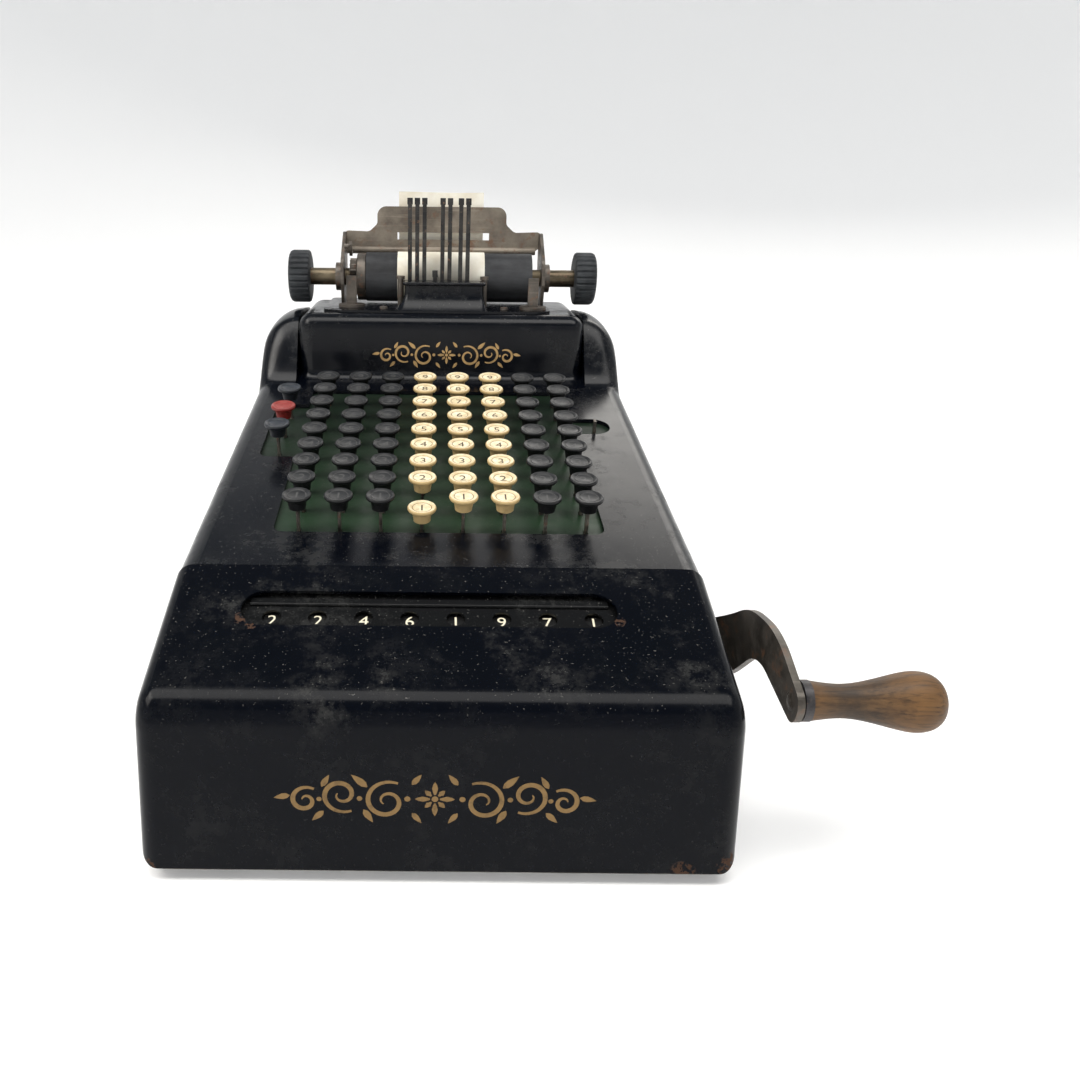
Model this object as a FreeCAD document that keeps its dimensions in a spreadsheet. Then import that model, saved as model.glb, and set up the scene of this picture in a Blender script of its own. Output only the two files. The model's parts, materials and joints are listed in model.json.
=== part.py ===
import FreeCAD, Part
import math
import os
import re
import Sketcher
from FreeCAD import Placement, Rotation, Vector

# Full-keyboard printing adding machine, in millimetres.
# Machine frame: X to the right, Y to the rear, Z up. X = 0 is the middle of the case,
# Y = 0 the middle of its length and Z = 0 the table. Every finished sub-part is shifted
# along X by one common amount, so that the model's origin is the middle of its own box.

DIMENSIONS = (
    # case
    ("case_length", 396.0, "length of the case"),
    ("case_half_width", 119.0, "half width of the case at its bottom edge"),
    ("case_taper", 0.042, "how much the half width shrinks per millimetre of height"),
    ("case_bottom", 5.5, "height of the case's lower edge"),
    ("case_top", 181.5, "height of the rear shoulders"),
    ("wall", 2.0, "sheet thickness of the case"),
    ("deck_middle", 127.9, "height of the sloping deck at mid length"),
    ("deck_angle", 10.09, "slope of the deck in degrees"),
    ("seam_back", 123.0, "distance of the front seam before mid length"),
    ("cover_angle", 20.5, "slope of the front cover's top in degrees"),
    ("bend_radius", 16.0, "bend of the front cover"),
    ("deck_edge_radius", 10.0, "rounding of the deck's side edges"),
    ("shoulder_radius", 22.0, "rounding of the rear shoulders"),
    ("shoulder_start", 88.0, "where the rear shoulders start to rise"),
    ("shoulder_run", 30.0, "length over which the shoulders rise"),
    ("back_bend", 32.0, "bend between the shoulders and the back"),
    ("back_radius", 18.0, "rounding of the case's rear corners"),
    ("cover_sheet", 1.5, "sheet thickness of the covers"),
    ("cover_edge", 8.0, "rounding of the front cover's side edges"),
    ("seam_gap", 0.3, "gap between neighbouring shells"),
    ("strip_setback", 10.0, "front end of the side walls behind the front cover's face"),
    ("strip_drop", 7.0, "top of the side walls below the front cover's top"),
    ("cover_corner", 7.0, "rounding of the front cover's lower corners"),
    ("bay_front", 86.0, "front edge of the case's opening for the print hood"),
    ("bay_gap", 0.6, "gap between the print hood and that opening"),
    ("base_inset", 2.0, "base plate inside the case's lower edge"),
    ("base_radius", 9.0, "rounded corners of the base plate"),
    ("foot_height", 3.5, "height of a rubber foot"),
    ("foot_radius", 9.0, "radius of a rubber foot"),
    ("foot_column", 95.0, "feet beside the middle"),
    ("foot_row", 170.0, "feet before and behind mid length"),
    # windows over the number wheels
    ("slot_left", 82.5, "left end of the dial slot"),
    ("slot_right", 73.0, "right end of the dial slot"),
    ("slot_width", 20.0, "width of the dial slot along the slope"),
    ("slot_rear", 138.2, "distance of the slot's rear edge before mid length"),
    ("window_diameter", 7.8, "round window over one number wheel"),
    ("window_centre", 12.2, "window centre, down the slope from the slot's rear edge"),
    ("dial_depth", 3.2, "dial plate below the cover's outer face"),
    ("wheel_depth", 5.0, "number wheels below the cover's outer face"),
    ("wheel_radius", 15.0, "radius of a number wheel"),
    ("wheel_width", 9.0, "width of a number wheel"),
    ("wheel_middle", 3.2, "middle of the row of number wheels, left of the case's middle"),
    ("gear_radius", 9.0, "radius of the gear beside a number wheel"),
    ("gear_width", 4.0, "width of that gear"),
    ("dial_sheet", 1.2, "thickness of the dial plate and of its rib"),
    ("shaft_radius", 3.0, "radius of the number wheel shaft"),
    ("running_gap", 0.05, "radial clearance of a shaft in its bore"),
    # keyboard
    ("key_pitch", 19.05, "distance between neighbouring keys"),
    ("key_middle", 0.95, "middle of the key columns"),
    ("first_row", 90.2, "first row of keys, down the deck from mid length"),
    ("keytop_height", 17.0, "key tops above the deck"),
    ("keytop_diameter", 13.4, "diameter of a key top"),
    ("keytop_rim", 2.5, "thickness of a key top's disc"),
    ("cap_height", 7.5, "height of a whole key cap"),
    ("neck_top", 9.3, "upper diameter of a key cap's neck"),
    ("neck_bottom", 8.0, "lower diameter of a key cap's neck"),
    ("dish_radius", 16.0, "radius of the hollow in a key top"),
    ("dish_depth", 1.0, "depth of the hollow in a key top"),
    ("stem_thickness", 1.5, "thickness of a key stem, across the machine"),
    ("stem_width", 3.0, "width of a key stem, along the machine"),
    ("stem_insertion", 4.0, "how far a stem goes into its cap"),
    ("stem_reach", 17.0, "how far the stems reach below the deck"),
    ("key_travel", 6.0, "travel of a key"),
    ("plate_depth", 2.4, "keyboard plate below the deck's outer face"),
    ("plate_sheet", 1.5, "thickness of the keyboard plate"),
    ("control_column", 86.0, "column of control keys, left of the case's middle"),
    ("bare_stem_column", 87.0, "stem without a cap, right of the case's middle"),
    ("bare_stem_height", 6.2, "top of the stem without a cap, above the deck"),
    ("stem_room", 0.35, "gap round a stem in its slot"),
    # frames
    ("frame_sheet", 2.0, "thickness of a side frame"),
    ("frame_left", 105.0, "outer face of the left side frame"),
    ("frame_right", 105.0, "outer face of the right side frame"),
    ("rod_radius", 4.0, "radius of a tie rod"),
    # print hood and carriage
    ("hood_left", 89.0, "left side of the print hood"),
    ("hood_right", 90.4, "right side of the print hood"),
    ("hood_front", 101.0, "front face of the print hood"),
    ("hood_rear", 190.0, "rear face of the print hood"),
    ("hood_base", 146.4, "lower edge of the print hood"),
    ("hood_top", 185.0, "top of the print hood"),
    ("hood_radius", 9.0, "rounded edges of the print hood"),
    ("flare", 6.5, "radius of the flare at the hood's foot"),
    ("top_sheet", 1.5, "thickness of the plate on the hood"),
    ("screw_radius", 2.6, "radius of a screw's head on that plate"),
    ("screw_head", 1.4, "height of that head"),
    ("bar_slot_left", 22.6, "left end of the slot for the type bars"),
    ("bar_slot_right", 20.5, "right end of that slot"),
    ("bar_slot_front", 130.0, "front edge of that slot"),
    ("bar_slot_rear", 144.0, "rear edge of that slot"),
    ("bar_width", 2.6, "width of a type bar"),
    ("bar_depth", 4.0, "depth of a type bar"),
    ("bar_pitch", 4.65, "distance between neighbouring type bars"),
    ("bar_row", 136.0, "row of type bars behind mid length"),
    ("bar_length", 140.0, "length of a type bar"),
    ("bar_head", 4.0, "height of the head that carries the type"),
    ("post_row", 137.0, "ribbon posts behind mid length"),
    ("post_height", 17.0, "height of a ribbon post below its flange"),
    ("bar_top", 253.3, "top of a raised type bar"),
    ("low_bar_top", 209.1, "top of the type bar that is down"),
    ("platen_row", 157.0, "platen axis behind mid length"),
    ("platen_height", 203.0, "height of the platen axis"),
    ("platen_radius", 15.7, "radius of the rubber platen"),
    ("platen_left", 48.7, "left end of the rubber platen"),
    ("platen_right", 60.2, "right end of the rubber platen"),
    ("spindle_radius", 5.5, "radius of the platen shaft"),
    ("drum_radius", 15.2, "radius of the hub drum beside the platen"),
    ("drum_width", 6.0, "width of that drum"),
    ("ratchet_radius", 12.0, "radius of the ratchet"),
    ("ratchet_width", 5.0, "width of the ratchet"),
    ("knob_radius", 16.8, "radius of a platen knob"),
    ("knob_width", 13.9, "width of a platen knob"),
    ("knob_left", 99.7, "outer face of the left platen knob"),
    ("knob_right", 102.8, "outer face of the right platen knob"),
    ("flute_radius", 1.5, "radius of a flute in a knob's rim"),
    ("carriage_left", 65.0, "outer face of the left carriage side"),
    ("carriage_right", 68.4, "outer face of the right carriage side"),
    ("carriage_sheet", 2.0, "thickness of a carriage side"),
    ("table_row", 176.0, "paper table behind mid length"),
    ("table_sheet", 1.2, "thickness of the paper table"),
    ("table_low", 219.0, "lower edge of the paper table, and its roll"),
    ("paper_width", 57.0, "width of the paper"),
    ("paper_left", 28.0, "left edge of the paper"),
    ("paper_top", 256.6, "top edge of the paper"),
    # crank
    ("hub_row", 50.0, "crank axis before mid length"),
    ("hub_height", 25.0, "height of the crank axis"),
    ("grip_row", 171.0, "handle axis before mid length"),
    ("grip_height", 69.0, "height of the handle axis"),
    ("arm_sheet", 3.0, "thickness of the crank arm"),
    ("shaft_end", 84.0, "inner end of the crank shaft"),
    ("crank_radius", 6.0, "radius of the crank shaft"),
    ("boss_radius", 9.0, "radius of the crank's boss and of its bushing"),
    ("grip_pin", 3.0, "radius of the pin that the handle turns on"),
    ("ferrule_radius", 8.4, "radius of the handle's ferrule"),
    ("ferrule_width", 3.4, "width of the handle's ferrule"),
    ("arm_inner", 121.5, "inner face of the crank arm at its hub"),
    ("arm_outer", 140.0, "inner face of the crank arm at the handle"),
    ("grip_end", 200.4, "outer end of the handle"),
)

COLUMNS = 8
ROWS = 9
PRESSED_COLUMN = 4          # the front key of this column is held down
FLUTES = 26                 # flutes round a platen knob
LOW_BAR = 4                 # the type bar that is down

doc = FreeCAD.newDocument("adding_machine")
sheet = doc.addObject("Spreadsheet::Sheet", "Dims")
for line, (alias, amount, meaning) in enumerate(DIMENSIONS, 1):
    sheet.set(f"A{line}", meaning)
    sheet.set(f"B{line}", str(amount))
    sheet.setAlias(f"B{line}", alias)
doc.recompute()

ALIASES = {alias for alias, amount, meaning in DIMENSIONS}
FINISHED = []


# ---------------------------------------------------------------- small helpers

def bound(text):
    """The text as an expression on the sheet: each alias becomes Dims.alias."""
    def with_sheet(word):
        return "Dims." + word[0] if word[0] in ALIASES else word[0]

    return re.sub(r"[a-z]\w*", with_sheet, str(text))


def value(text):
    """The number that an expression stands for."""
    result = sheet.evalExpression(bound(text))
    return float(getattr(result, "Value", result))


def bind(item, **sizes):
    for name, text in sizes.items():
        item.setExpression(name, bound(text))


def bind_base(item, at):
    for axis, text in zip("xyz", at):
        item.setExpression(f"Placement.Base.{axis}", bound(text))


def box(name, at, size):
    """A block from its lowest corner."""
    item = doc.addObject("Part::Box", name)
    bind(item, Length=size[0], Width=size[1], Height=size[2])
    bind_base(item, at)
    return item


TURNED = {"x": Rotation(Vector(0, 1, 0), 90), "z": Rotation()}


def cylinder(name, at, radius, height, axis="z"):
    """A cylinder that starts at a point and runs along +X or +Z."""
    item = doc.addObject("Part::Cylinder", name)
    item.Placement = Placement(Vector(), TURNED[axis])
    bind(item, Radius=radius, Height=height)
    bind_base(item, at)
    return item


def cone(name, at, lower, upper, height):
    item = doc.addObject("Part::Cone", name)
    bind(item, Radius1=lower, Radius2=upper, Height=height)
    bind_base(item, at)
    return item


def cut(name, base, *tools):
    item = doc.addObject("Part::Cut", name)
    item.Base = base
    item.Tool = tools[0] if len(tools) == 1 else fuse(name + "_tools", *tools)
    return item


def fuse(name, *pieces):
    item = doc.addObject("Part::MultiFuse", name)
    item.Shapes = list(pieces)
    return item


def common(name, *pieces):
    item = doc.addObject("Part::MultiCommon", name)
    item.Shapes = list(pieces)
    return item


def group(name, *pieces):
    """Separate solids that share one node."""
    item = doc.addObject("Part::Compound", name)
    item.Links = list(pieces)
    return item


def fillet(name, base, radius, wanted):
    """Rounds the edges that wanted(edge) picks."""
    doc.recompute()
    item = doc.addObject("Part::Fillet", name)
    item.Base = base
    size = value(radius)
    item.Edges = [(number, size, size) for number, edge in enumerate(base.Shape.Edges, 1) if wanted(edge)]
    return item


def finish(item, label, on_deck=False, place=None):
    """Names a finished sub-part and puts it in the model's frame."""
    if item.TypeId in ("Part::Box", "Part::Cylinder"):
        item = group(label + "_holder", item)
    item.Label = label
    own = place or (DECK if on_deck else Placement())
    item.Placement = FRAME.multiply(own)
    FINISHED.append(item)
    return item


# ---------------------------------------------------------------- sketched bodies

SPREAD = {
    "XY_Plane": lambda point: Vector(point[0], point[1], 0),
    "XZ_Plane": lambda point: Vector(point[0], 0, point[1]),
    "YZ_Plane": lambda point: Vector(0, point[0], point[1]),
}
FLATTEN = {
    "XY_Plane": lambda point: (point.x, point.y),
    "XZ_Plane": lambda point: (point.x, point.z),
    "YZ_Plane": lambda point: (point.y, point.z),
}


def new_body(name):
    body = doc.addObject("PartDesign::Body", name)
    body.AllowCompound = True
    return body


def new_sketch(body, name, plane, offset="0"):
    item = body.newObject("Sketcher::SketchObject", name)
    origin_plane = next(face for face in body.Origin.OriginFeatures if face.Role == plane)
    item.AttachmentSupport = [(origin_plane, "")]
    item.MapMode = "FlatFace"
    item.setExpression("AttachmentOffset.Base.z", bound(offset))
    return item


def draw_outline(item, vertices):
    """A closed polygon whose corners are tied to the sheet."""
    first = item.GeometryCount
    points = [Vector(value(corner[0]), value(corner[1]), 0) for corner in vertices]
    count = len(points)
    for index in range(count):
        item.addGeometry(Part.LineSegment(points[index], points[(index + 1) % count]), False)
    for index in range(count):
        onward = (index + 1) % count
        item.addConstraint(Sketcher.Constraint("Coincident", first + index, 2, first + onward, 1))
    for index, corner in enumerate(vertices):
        ties = (("DistanceX", points[index].x, corner[0]), ("DistanceY", points[index].y, corner[1]))
        for kind, place, text in ties:
            number = item.addConstraint(Sketcher.Constraint(kind, -1, 1, first + index, 1, place))
            item.setExpression(f"Constraints[{number}]", bound(text))


def draw_circle(item, x, y, radius):
    """A circle tied to the sheet."""
    centre = Vector(value(x), value(y), 0)
    number = item.addGeometry(Part.Circle(centre, Vector(0, 0, 1), value(radius)), False)
    for kind, place, text in (("DistanceX", value(x), x), ("DistanceY", value(y), y)):
        tied = item.addConstraint(Sketcher.Constraint(kind, -1, 1, number, 3, place))
        item.setExpression(f"Constraints[{tied}]", bound(text))
    tied = item.addConstraint(Sketcher.Constraint("Radius", number, value(radius)))
    item.setExpression(f"Constraints[{tied}]", bound(radius))


def rectangle(left, right, low, high, radius=None):
    corners = [(left, low), (right, low), (right, high), (left, high)]
    return [corner + ((radius,) if radius else ()) for corner in corners]


def round_corners(body, name, plane, vertices):
    """Rounds the corners of an outline that carry a radius, one fillet for each size."""
    sizes = sorted({corner[2] for corner in vertices if len(corner) > 2})
    for number, size in enumerate(sizes, 1):
        doc.recompute()
        source = body.Tip
        places = [SPREAD[plane]((value(corner[0]), value(corner[1]))) for corner in vertices
                  if len(corner) > 2 and corner[2] == size]
        names = []
        for index, edge in enumerate(source.Shape.Edges, 1):
            ends = [vertex.Point for vertex in edge.Vertexes]
            if len(ends) != 2 or edge.Curve.TypeId != "Part::GeomLine":
                continue
            flat = [SPREAD[plane](FLATTEN[plane](end)) for end in ends]
            if (flat[0] - flat[1]).Length > 1e-4:
                continue
            if any((flat[0] - place).Length < 1e-3 for place in places):
                names.append(f"Edge{index}")
        feature = body.newObject("PartDesign::Fillet", f"{name}_round_{number}")
        feature.Base = (source, names)
        bind(feature, Radius=size)
        body.Tip = feature


def plate(name, plane, vertices, depth, offset="0", circles=(), middle=False):
    """A body: an outline padded along its plane's normal, with round holes and rounded corners."""
    body = new_body(name)
    outline = new_sketch(body, name + "_outline", plane, offset)
    draw_outline(outline, vertices)
    for x, y, radius in circles:
        draw_circle(outline, x, y, radius)
    pad = body.newObject("PartDesign::Pad", name + "_pad")
    pad.Profile = outline
    bind(pad, Length=depth)
    pad.Midplane = middle
    body.Tip = pad
    round_corners(body, name, plane, vertices)
    return body


def pocket(body, name, plane, outlines, circles=(), offset="0"):
    """Cuts outlines through a body to both sides, and makes sure that they took something away."""
    doc.recompute()
    before = body.Shape.Volume
    drawing = new_sketch(body, name + "_outline", plane, offset)
    for vertices in outlines:
        draw_outline(drawing, vertices)
    for x, y, radius in circles:
        draw_circle(drawing, x, y, radius)
    feature = body.newObject("PartDesign::Pocket", name)
    feature.Profile = drawing
    feature.Type = "Length"
    feature.Midplane = True
    bind(feature, Length="60")
    body.Tip = feature
    doc.recompute()
    if body.Shape.Volume > before - 1e-6:
        raise RuntimeError(name + " cut nothing")
    return feature


def inset_outline(vertices, amount):
    """The outline moved inwards by an amount; it runs counter-clockwise, and its roundings follow."""
    points = [Vector(value(corner[0]), value(corner[1]), 0) for corner in vertices]
    count = len(points)
    moved = []
    for index, corner in enumerate(vertices):
        along = (points[index] - points[index - 1]).normalize()
        onward = (points[(index + 1) % count] - points[index]).normalize()
        inward = Vector(-along.y, along.x, 0)
        next_inward = Vector(-onward.y, onward.x, 0)
        shift = (inward + next_inward) * (1 / (1 + inward.dot(next_inward)))
        entry = [f"({corner[0]}) + ({shift.x:.5f}) * {amount}", f"({corner[1]}) + ({shift.y:.5f}) * {amount}"]
        if len(corner) > 2:
            sign = "-" if along.cross(onward).z > 0 else "+"
            entry.append(f"{corner[2]} {sign} {amount}")
        moved.append(tuple(entry))
    return moved


DECK = Placement(Vector(0, 0, value("deck_middle")), Rotation(Vector(1, 0, 0), value("deck_angle")))
FRAME = Placement(Vector((value("case_half_width") - value("grip_end")) / 2, 0, 0), Rotation())


# ---------------------------------------------------------------- case and covers

SEAM_HEIGHT = "(deck_middle - seam_back * tan(deck_angle))"
BEND_HEIGHT = f"({SEAM_HEIGHT} - (case_length / 2 - seam_back) * tan(cover_angle))"


def half_width(height, less="0"):
    return f"(case_half_width - case_taper * ({height} - 4) - {less})"


def tapered_block(name, less):
    """A long block with the case's leaning sides."""
    low, high = "-10", "200"
    outline = [("-" + half_width(low, less), low), (half_width(low, less), low),
               (half_width(high, less), high), ("-" + half_width(high, less), high)]
    return plate(name, "XZ_Plane", outline, "case_length + 40", middle=True)


def on_side(edge, less):
    """Whether an edge runs along one of the leaning sides, apart from the bottom edge."""
    first, last = edge.FirstParameter, edge.LastParameter
    points = [edge.valueAt(place) for place in (first, (first + last) / 2, last)]
    return all(abs(abs(point.x) - value(half_width(f"({point.z})", less))) < 0.01 for point in points)


def eased(share):
    """A smooth step from 0 to 1."""
    share = min(1.0, max(0.0, share))
    return share * share * (3 - 2 * share)


def top_height(y):
    """The case's height at mid width: the sloping deck, the rear shoulder and the rounded back."""
    deck = value("deck_middle") + y * math.tan(math.radians(value("deck_angle")))
    start, run, crown = value("shoulder_start"), value("shoulder_run"), value("case_top")
    height = deck + (crown - deck) * eased((y - start) / run)
    bend = value("back_bend")
    over = y - (value("case_length") / 2 - bend)
    return height - (bend - math.sqrt(bend ** 2 - over ** 2)) if over > 0 else height


def case_section(y, less, low):
    """A closed cross-section of the case at a place along its length, made smaller by less."""
    lean = math.atan(value("case_taper"))
    rise = eased((y - value("shoulder_start")) / value("shoulder_run"))
    radius = value("deck_edge_radius") + (value("shoulder_radius") - value("deck_edge_radius")) * rise
    corner = value("back_radius")
    over = max(0.0, y + less - (value("case_length") / 2 - corner))
    narrow = less + corner - math.sqrt(corner ** 2 - over ** 2)
    height = top_height(min(y + less, value("case_length") / 2) if y > 150 else y) - less
    centre_z = height - radius
    centre_x = value(half_width(str(centre_z))) - narrow - radius / math.cos(lean)

    def on_corner(angle, side):
        return Vector(side * (centre_x + radius * math.cos(angle)), y, centre_z + radius * math.sin(angle))

    foot = value(half_width(str(low))) - narrow
    half_turn = (lean + math.pi / 2) / 2
    edges = [Part.makeLine(Vector(-foot, y, low), Vector(foot, y, low)),
             Part.makeLine(Vector(foot, y, low), on_corner(lean, 1)),
             Part.Arc(on_corner(lean, 1), on_corner(half_turn, 1), on_corner(math.pi / 2, 1)).toShape(),
             Part.makeLine(on_corner(math.pi / 2, 1), on_corner(math.pi / 2, -1)),
             Part.Arc(on_corner(math.pi / 2, -1), on_corner(half_turn, -1), on_corner(lean, -1)).toShape(),
             Part.makeLine(on_corner(lean, -1), Vector(-foot, y, low))]
    return Part.Wire(edges)


def case_envelope(name, reach, less):
    """The case from the seam to the back as one solid: a straight deck and a pressed rear part."""
    amount = value(less)
    front, low = -value("seam_back") - reach, value("case_bottom") - reach
    start, crest = value("shoulder_start"), value("shoulder_start + shoulder_run")
    bend, back = value("back_bend"), value("case_length") / 2
    deck = Part.makeLoft([case_section(front, amount, low), case_section(start, amount, low)], True, True)
    rises = [start + (crest - start) * step / 8 for step in range(9)]
    turns = [back - bend + bend * math.sin(math.radians(angle)) - amount
             for angle in (0, 20, 38, 54, 68, 80, 88)]
    rear = Part.makeLoft([case_section(y, amount, low) for y in rises + turns], True, False)
    item = doc.addObject("Part::Feature", name)
    item.Shape = deck.fuse(rear)
    return item


# Keyboard opening of the deck, seen from above: a field for the keys with a lobe on each side.
OPENING = [("-77.2", "-94", "5"), ("76", "-94", "5"), ("76", "17.6"), ("96.6", "17.6", "10"),
           ("96.6", "38.6", "10"), ("76", "38.6"), ("76", "79", "3"), ("-77.2", "79", "3"), ("-77.2", "56"),
           ("-96", "56", "4"), ("-96", "-15", "5"), ("-77.2", "-15")]


def strip_outline(grow):
    """Side view of the case's walls beside the front cover, made larger by grow."""
    front = f"-case_length / 2 + strip_setback - {grow}"
    return [(front, "case_bottom", "4"), ("-seam_back + 1", "case_bottom"),
            ("-seam_back + 1", f"{SEAM_HEIGHT} - strip_drop + {grow}"),
            (front, f"{BEND_HEIGHT} + strip_setback * tan(cover_angle) - strip_drop + {grow}", "9")]


def hood_bay(name, low, reach="hood_rear + bay_gap - bay_front"):
    """The space that the print hood takes in the case, from its front edge back."""
    width = "hood_left + hood_right + 2 * bay_gap"
    return box(name, ("-hood_left - bay_gap", "bay_front", low), (width, reach, "70"))


def main_case():
    outer = case_envelope("case_outer", 0, "0")
    shell = cut("case_shell", outer, case_envelope("case_inner", 10, "wall"))
    keys = plate("case_key_opening", "XY_Plane", OPENING, "80", offset="80")
    bushing = cylinder("case_crank_hole", ("100", "-hub_row", "hub_height"), "boss_radius", "30", "x")
    back = cut("case_back", shell, keys, hood_bay("case_hood_opening", "139"), bushing)
    # the deck runs on under the hood's front edge, and cheeks close the shoulders beside the hood
    slab = plate("apron_slab", "XY_Plane", rectangle("-120", "120", "60", "130"), "wall", offset="-wall")
    slab.Placement = DECK
    under_hood = hood_block("apron_cut", "hood_base")
    apron = cut("apron", common("apron_sheet", slab, hood_bay("apron_bay", "130", "26")), under_hood)
    cheeks = [common(f"cheek_{side}", outer, box(f"cheek_block_{side}", (x, "bay_front", "140"),
                                                 ("wall", "hood_rear - bay_front - 4", "60")))
              for side, x in (("left", "-hood_left - bay_gap - wall"), ("right", "hood_right + bay_gap"))]
    prism = plate("case_strips_prism", "YZ_Plane", strip_outline("0"), "3 * case_half_width", middle=True)
    walls = common("case_strips", prism, tapered_block("strips_outside", "0"))
    sides = cut("case_sides", walls, tapered_block("strips_inside", "wall"),
                cylinder("strip_crank_hole", ("100", "-hub_row", "hub_height"), "boss_radius", "30", "x"))
    finish(fuse("main_case_shell", back, sides, apron, *cheeks), "main_case")


def cover_block(name, reach, less, gap):
    """The front cover as a solid, made smaller all round by less, with a gap to the case's sides."""
    rear, low = f"-(seam_back + seam_gap) + {reach}", f"(case_bottom + seam_gap) - {reach}"
    slope = f"(deck_middle - seam_back * tan(deck_angle)) + ({reach}) * tan(cover_angle)"
    outline = [("-case_length / 2", low), (rear, low), (rear, slope),
               ("-case_length / 2", BEND_HEIGHT, "bend_radius")]
    if less != "0":
        outline = inset_outline(outline, less)
    inset = f"({gap} + {less})"
    prism = plate(name + "_prism", "YZ_Plane", outline, "3 * case_half_width", middle=True)
    block = common(name + "_block", prism, tapered_block(name + "_sides", inset))
    doc.recompute()
    rear_y, low_z = value(outline[1][0]), value(outline[1][1])

    def wanted(edge):
        ends = [edge.valueAt(edge.FirstParameter), edge.valueAt(edge.LastParameter)]
        at_bottom = all(abs(end.z - low_z) < 0.01 for end in ends)
        at_rear = all(abs(end.y - rear_y) < 0.01 for end in ends)
        return on_side(edge, inset) and not at_bottom and not at_rear

    return fillet(name, block, f"cover_edge - {less}", wanted)


COVER = Placement(Vector(0, -value("seam_back"), value(SEAM_HEIGHT)),
                  Rotation(Vector(1, 0, 0), value("cover_angle")))
SLOT_REAR = "(-(slot_rear - seam_back) / cos(cover_angle))"


def front_cover():
    """The front cover: as wide as the case, with its sides stepped in behind the case's side walls."""
    inner_gap = "(wall + seam_gap)"
    step = plate("cover_step", "YZ_Plane", strip_outline("seam_gap"), "3 * case_half_width", middle=True)
    full = cut("cover_full", cover_block("cover_wide", "0", "0", "0"), step)
    low = "(case_bottom + seam_gap)"
    corners = [("-" + half_width(low), low, "cover_corner"), (half_width(low), low, "cover_corner"),
               (half_width("200"), "200"), ("-" + half_width("200"), "200")]
    front = plate("cover_front_view", "XZ_Plane", corners, "case_length + 40", middle=True)
    outside = common("cover_outside", front,
                     fuse("cover_blocks", full, cover_block("cover_narrow", "0", "0", inner_gap)))
    shell = cut("cover_shell", outside, cover_block("cover_inner", "8", "cover_sheet", inner_gap))
    slot = plate("cover_slot", "XY_Plane",
                 rectangle("-slot_left", "slot_right", SLOT_REAR + " - slot_width", SLOT_REAR,
                           "slot_width / 2 - 0.05"), "12", offset="-8")
    slot.Placement = COVER
    finish(cut("front_cover_shell", shell, slot), "front_cover")


def wheel_places():
    return [f"-wheel_middle + ({index} - {(COLUMNS - 1) / 2}) * key_pitch" for index in range(COLUMNS)]


def dial_cover():
    """The plate with round windows below the slot, with a raised rib along its rear part."""
    low, high = SLOT_REAR + " - slot_width - 6", SLOT_REAR + " + 9"
    outline = rectangle("-slot_left - 8", "slot_right + 8", low, high)
    base = plate("dial_base", "XY_Plane", outline, "dial_sheet", offset="-dial_depth - dial_sheet")
    centre = SLOT_REAR + " - window_centre"
    pocket(base, "dial_windows", "XY_Plane", (), [(x, centre, "window_diameter / 2") for x in wheel_places()],
           offset="-dial_depth")
    rib_outline = rectangle("-slot_left + 3", "slot_right - 3", SLOT_REAR + " - 6", SLOT_REAR + " - 1.6")
    rib = plate("dial_rib", "XY_Plane", rib_outline, "dial_sheet", offset="-dial_depth")
    crest = value("dial_sheet - dial_depth")

    def long_on_top(edge):
        return abs(edge.valueAt(edge.FirstParameter).z - crest) < 0.01 and edge.Length > 100

    rounded = fillet("dial_rib_round", rib, "0.9", long_on_top)
    finish(fuse("dial_plate", base, rounded), "dial_cover", place=COVER)


def base_plate():
    edge = half_width("case_bottom", "base_inset")
    end = "(case_length / 2 - base_inset - 0.5)"
    outline = rectangle("-" + edge, edge, "-" + end, end, "base_radius")
    body = plate("base_sheet", "XY_Plane", outline, "case_bottom - foot_height", offset="foot_height")
    finish(body, "base_plate")


def rubber_feet():
    places = [(x, y) for x in ("-foot_column", "foot_column") for y in ("-foot_row", "foot_row")]
    feet = [cylinder(f"foot_{number}", (*place, "0"), "foot_radius", "foot_height")
            for number, place in enumerate(places)]
    finish(group("feet", *feet), "rubber_feet")


def keyboard_plate():
    """The sheet that guides the key stems; its slots leave room for the stems to slide."""
    body = plate("key_sheet", "XY_Plane", rectangle("-101", "101", "-100", "84"), "plate_sheet",
                 offset="-plate_depth - plate_sheet")
    across, along = "(stem_thickness / 2 + stem_room)", "(stem_width / 2 + stem_room)"

    def stem_slot(x, v):
        return rectangle(f"{x} - {across}", f"{x} + {across}", f"{v} - {along}", f"{v} + {along}")

    slots = [stem_slot(column_place(0), row_place(row)) for row in range(ROWS)]
    first = pocket(body, "first_slots", "XY_Plane", slots)
    pattern = body.newObject("PartDesign::LinearPattern", "all_slots")
    pattern.Originals = [first]
    pattern.Direction = (first.Profile[0], ["H_Axis"])
    pattern.Occurrences = COLUMNS
    bind(pattern, Length=f"key_pitch * {COLUMNS - 1}")
    body.Tip = pattern
    others = [stem_slot("-control_column", place) for place in CONTROL_PLACES.values()]
    pocket(body, "side_slots", "XY_Plane", others + [stem_slot("bare_stem_column", BARE_STEM_PLACE)])
    finish(body, "keyboard_plate", on_deck=True)


# ---------------------------------------------------------------- keys

CONTROL_PLACES = {"rear": "42", "red": "15.1", "front": "-9.1"}
BARE_STEM_PLACE = "22.5"


def column_place(column):
    return f"(key_middle + ({column} - {(COLUMNS - 1) / 2}) * key_pitch)"


def row_place(row):
    return f"({row} * key_pitch - first_row)"


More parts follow.
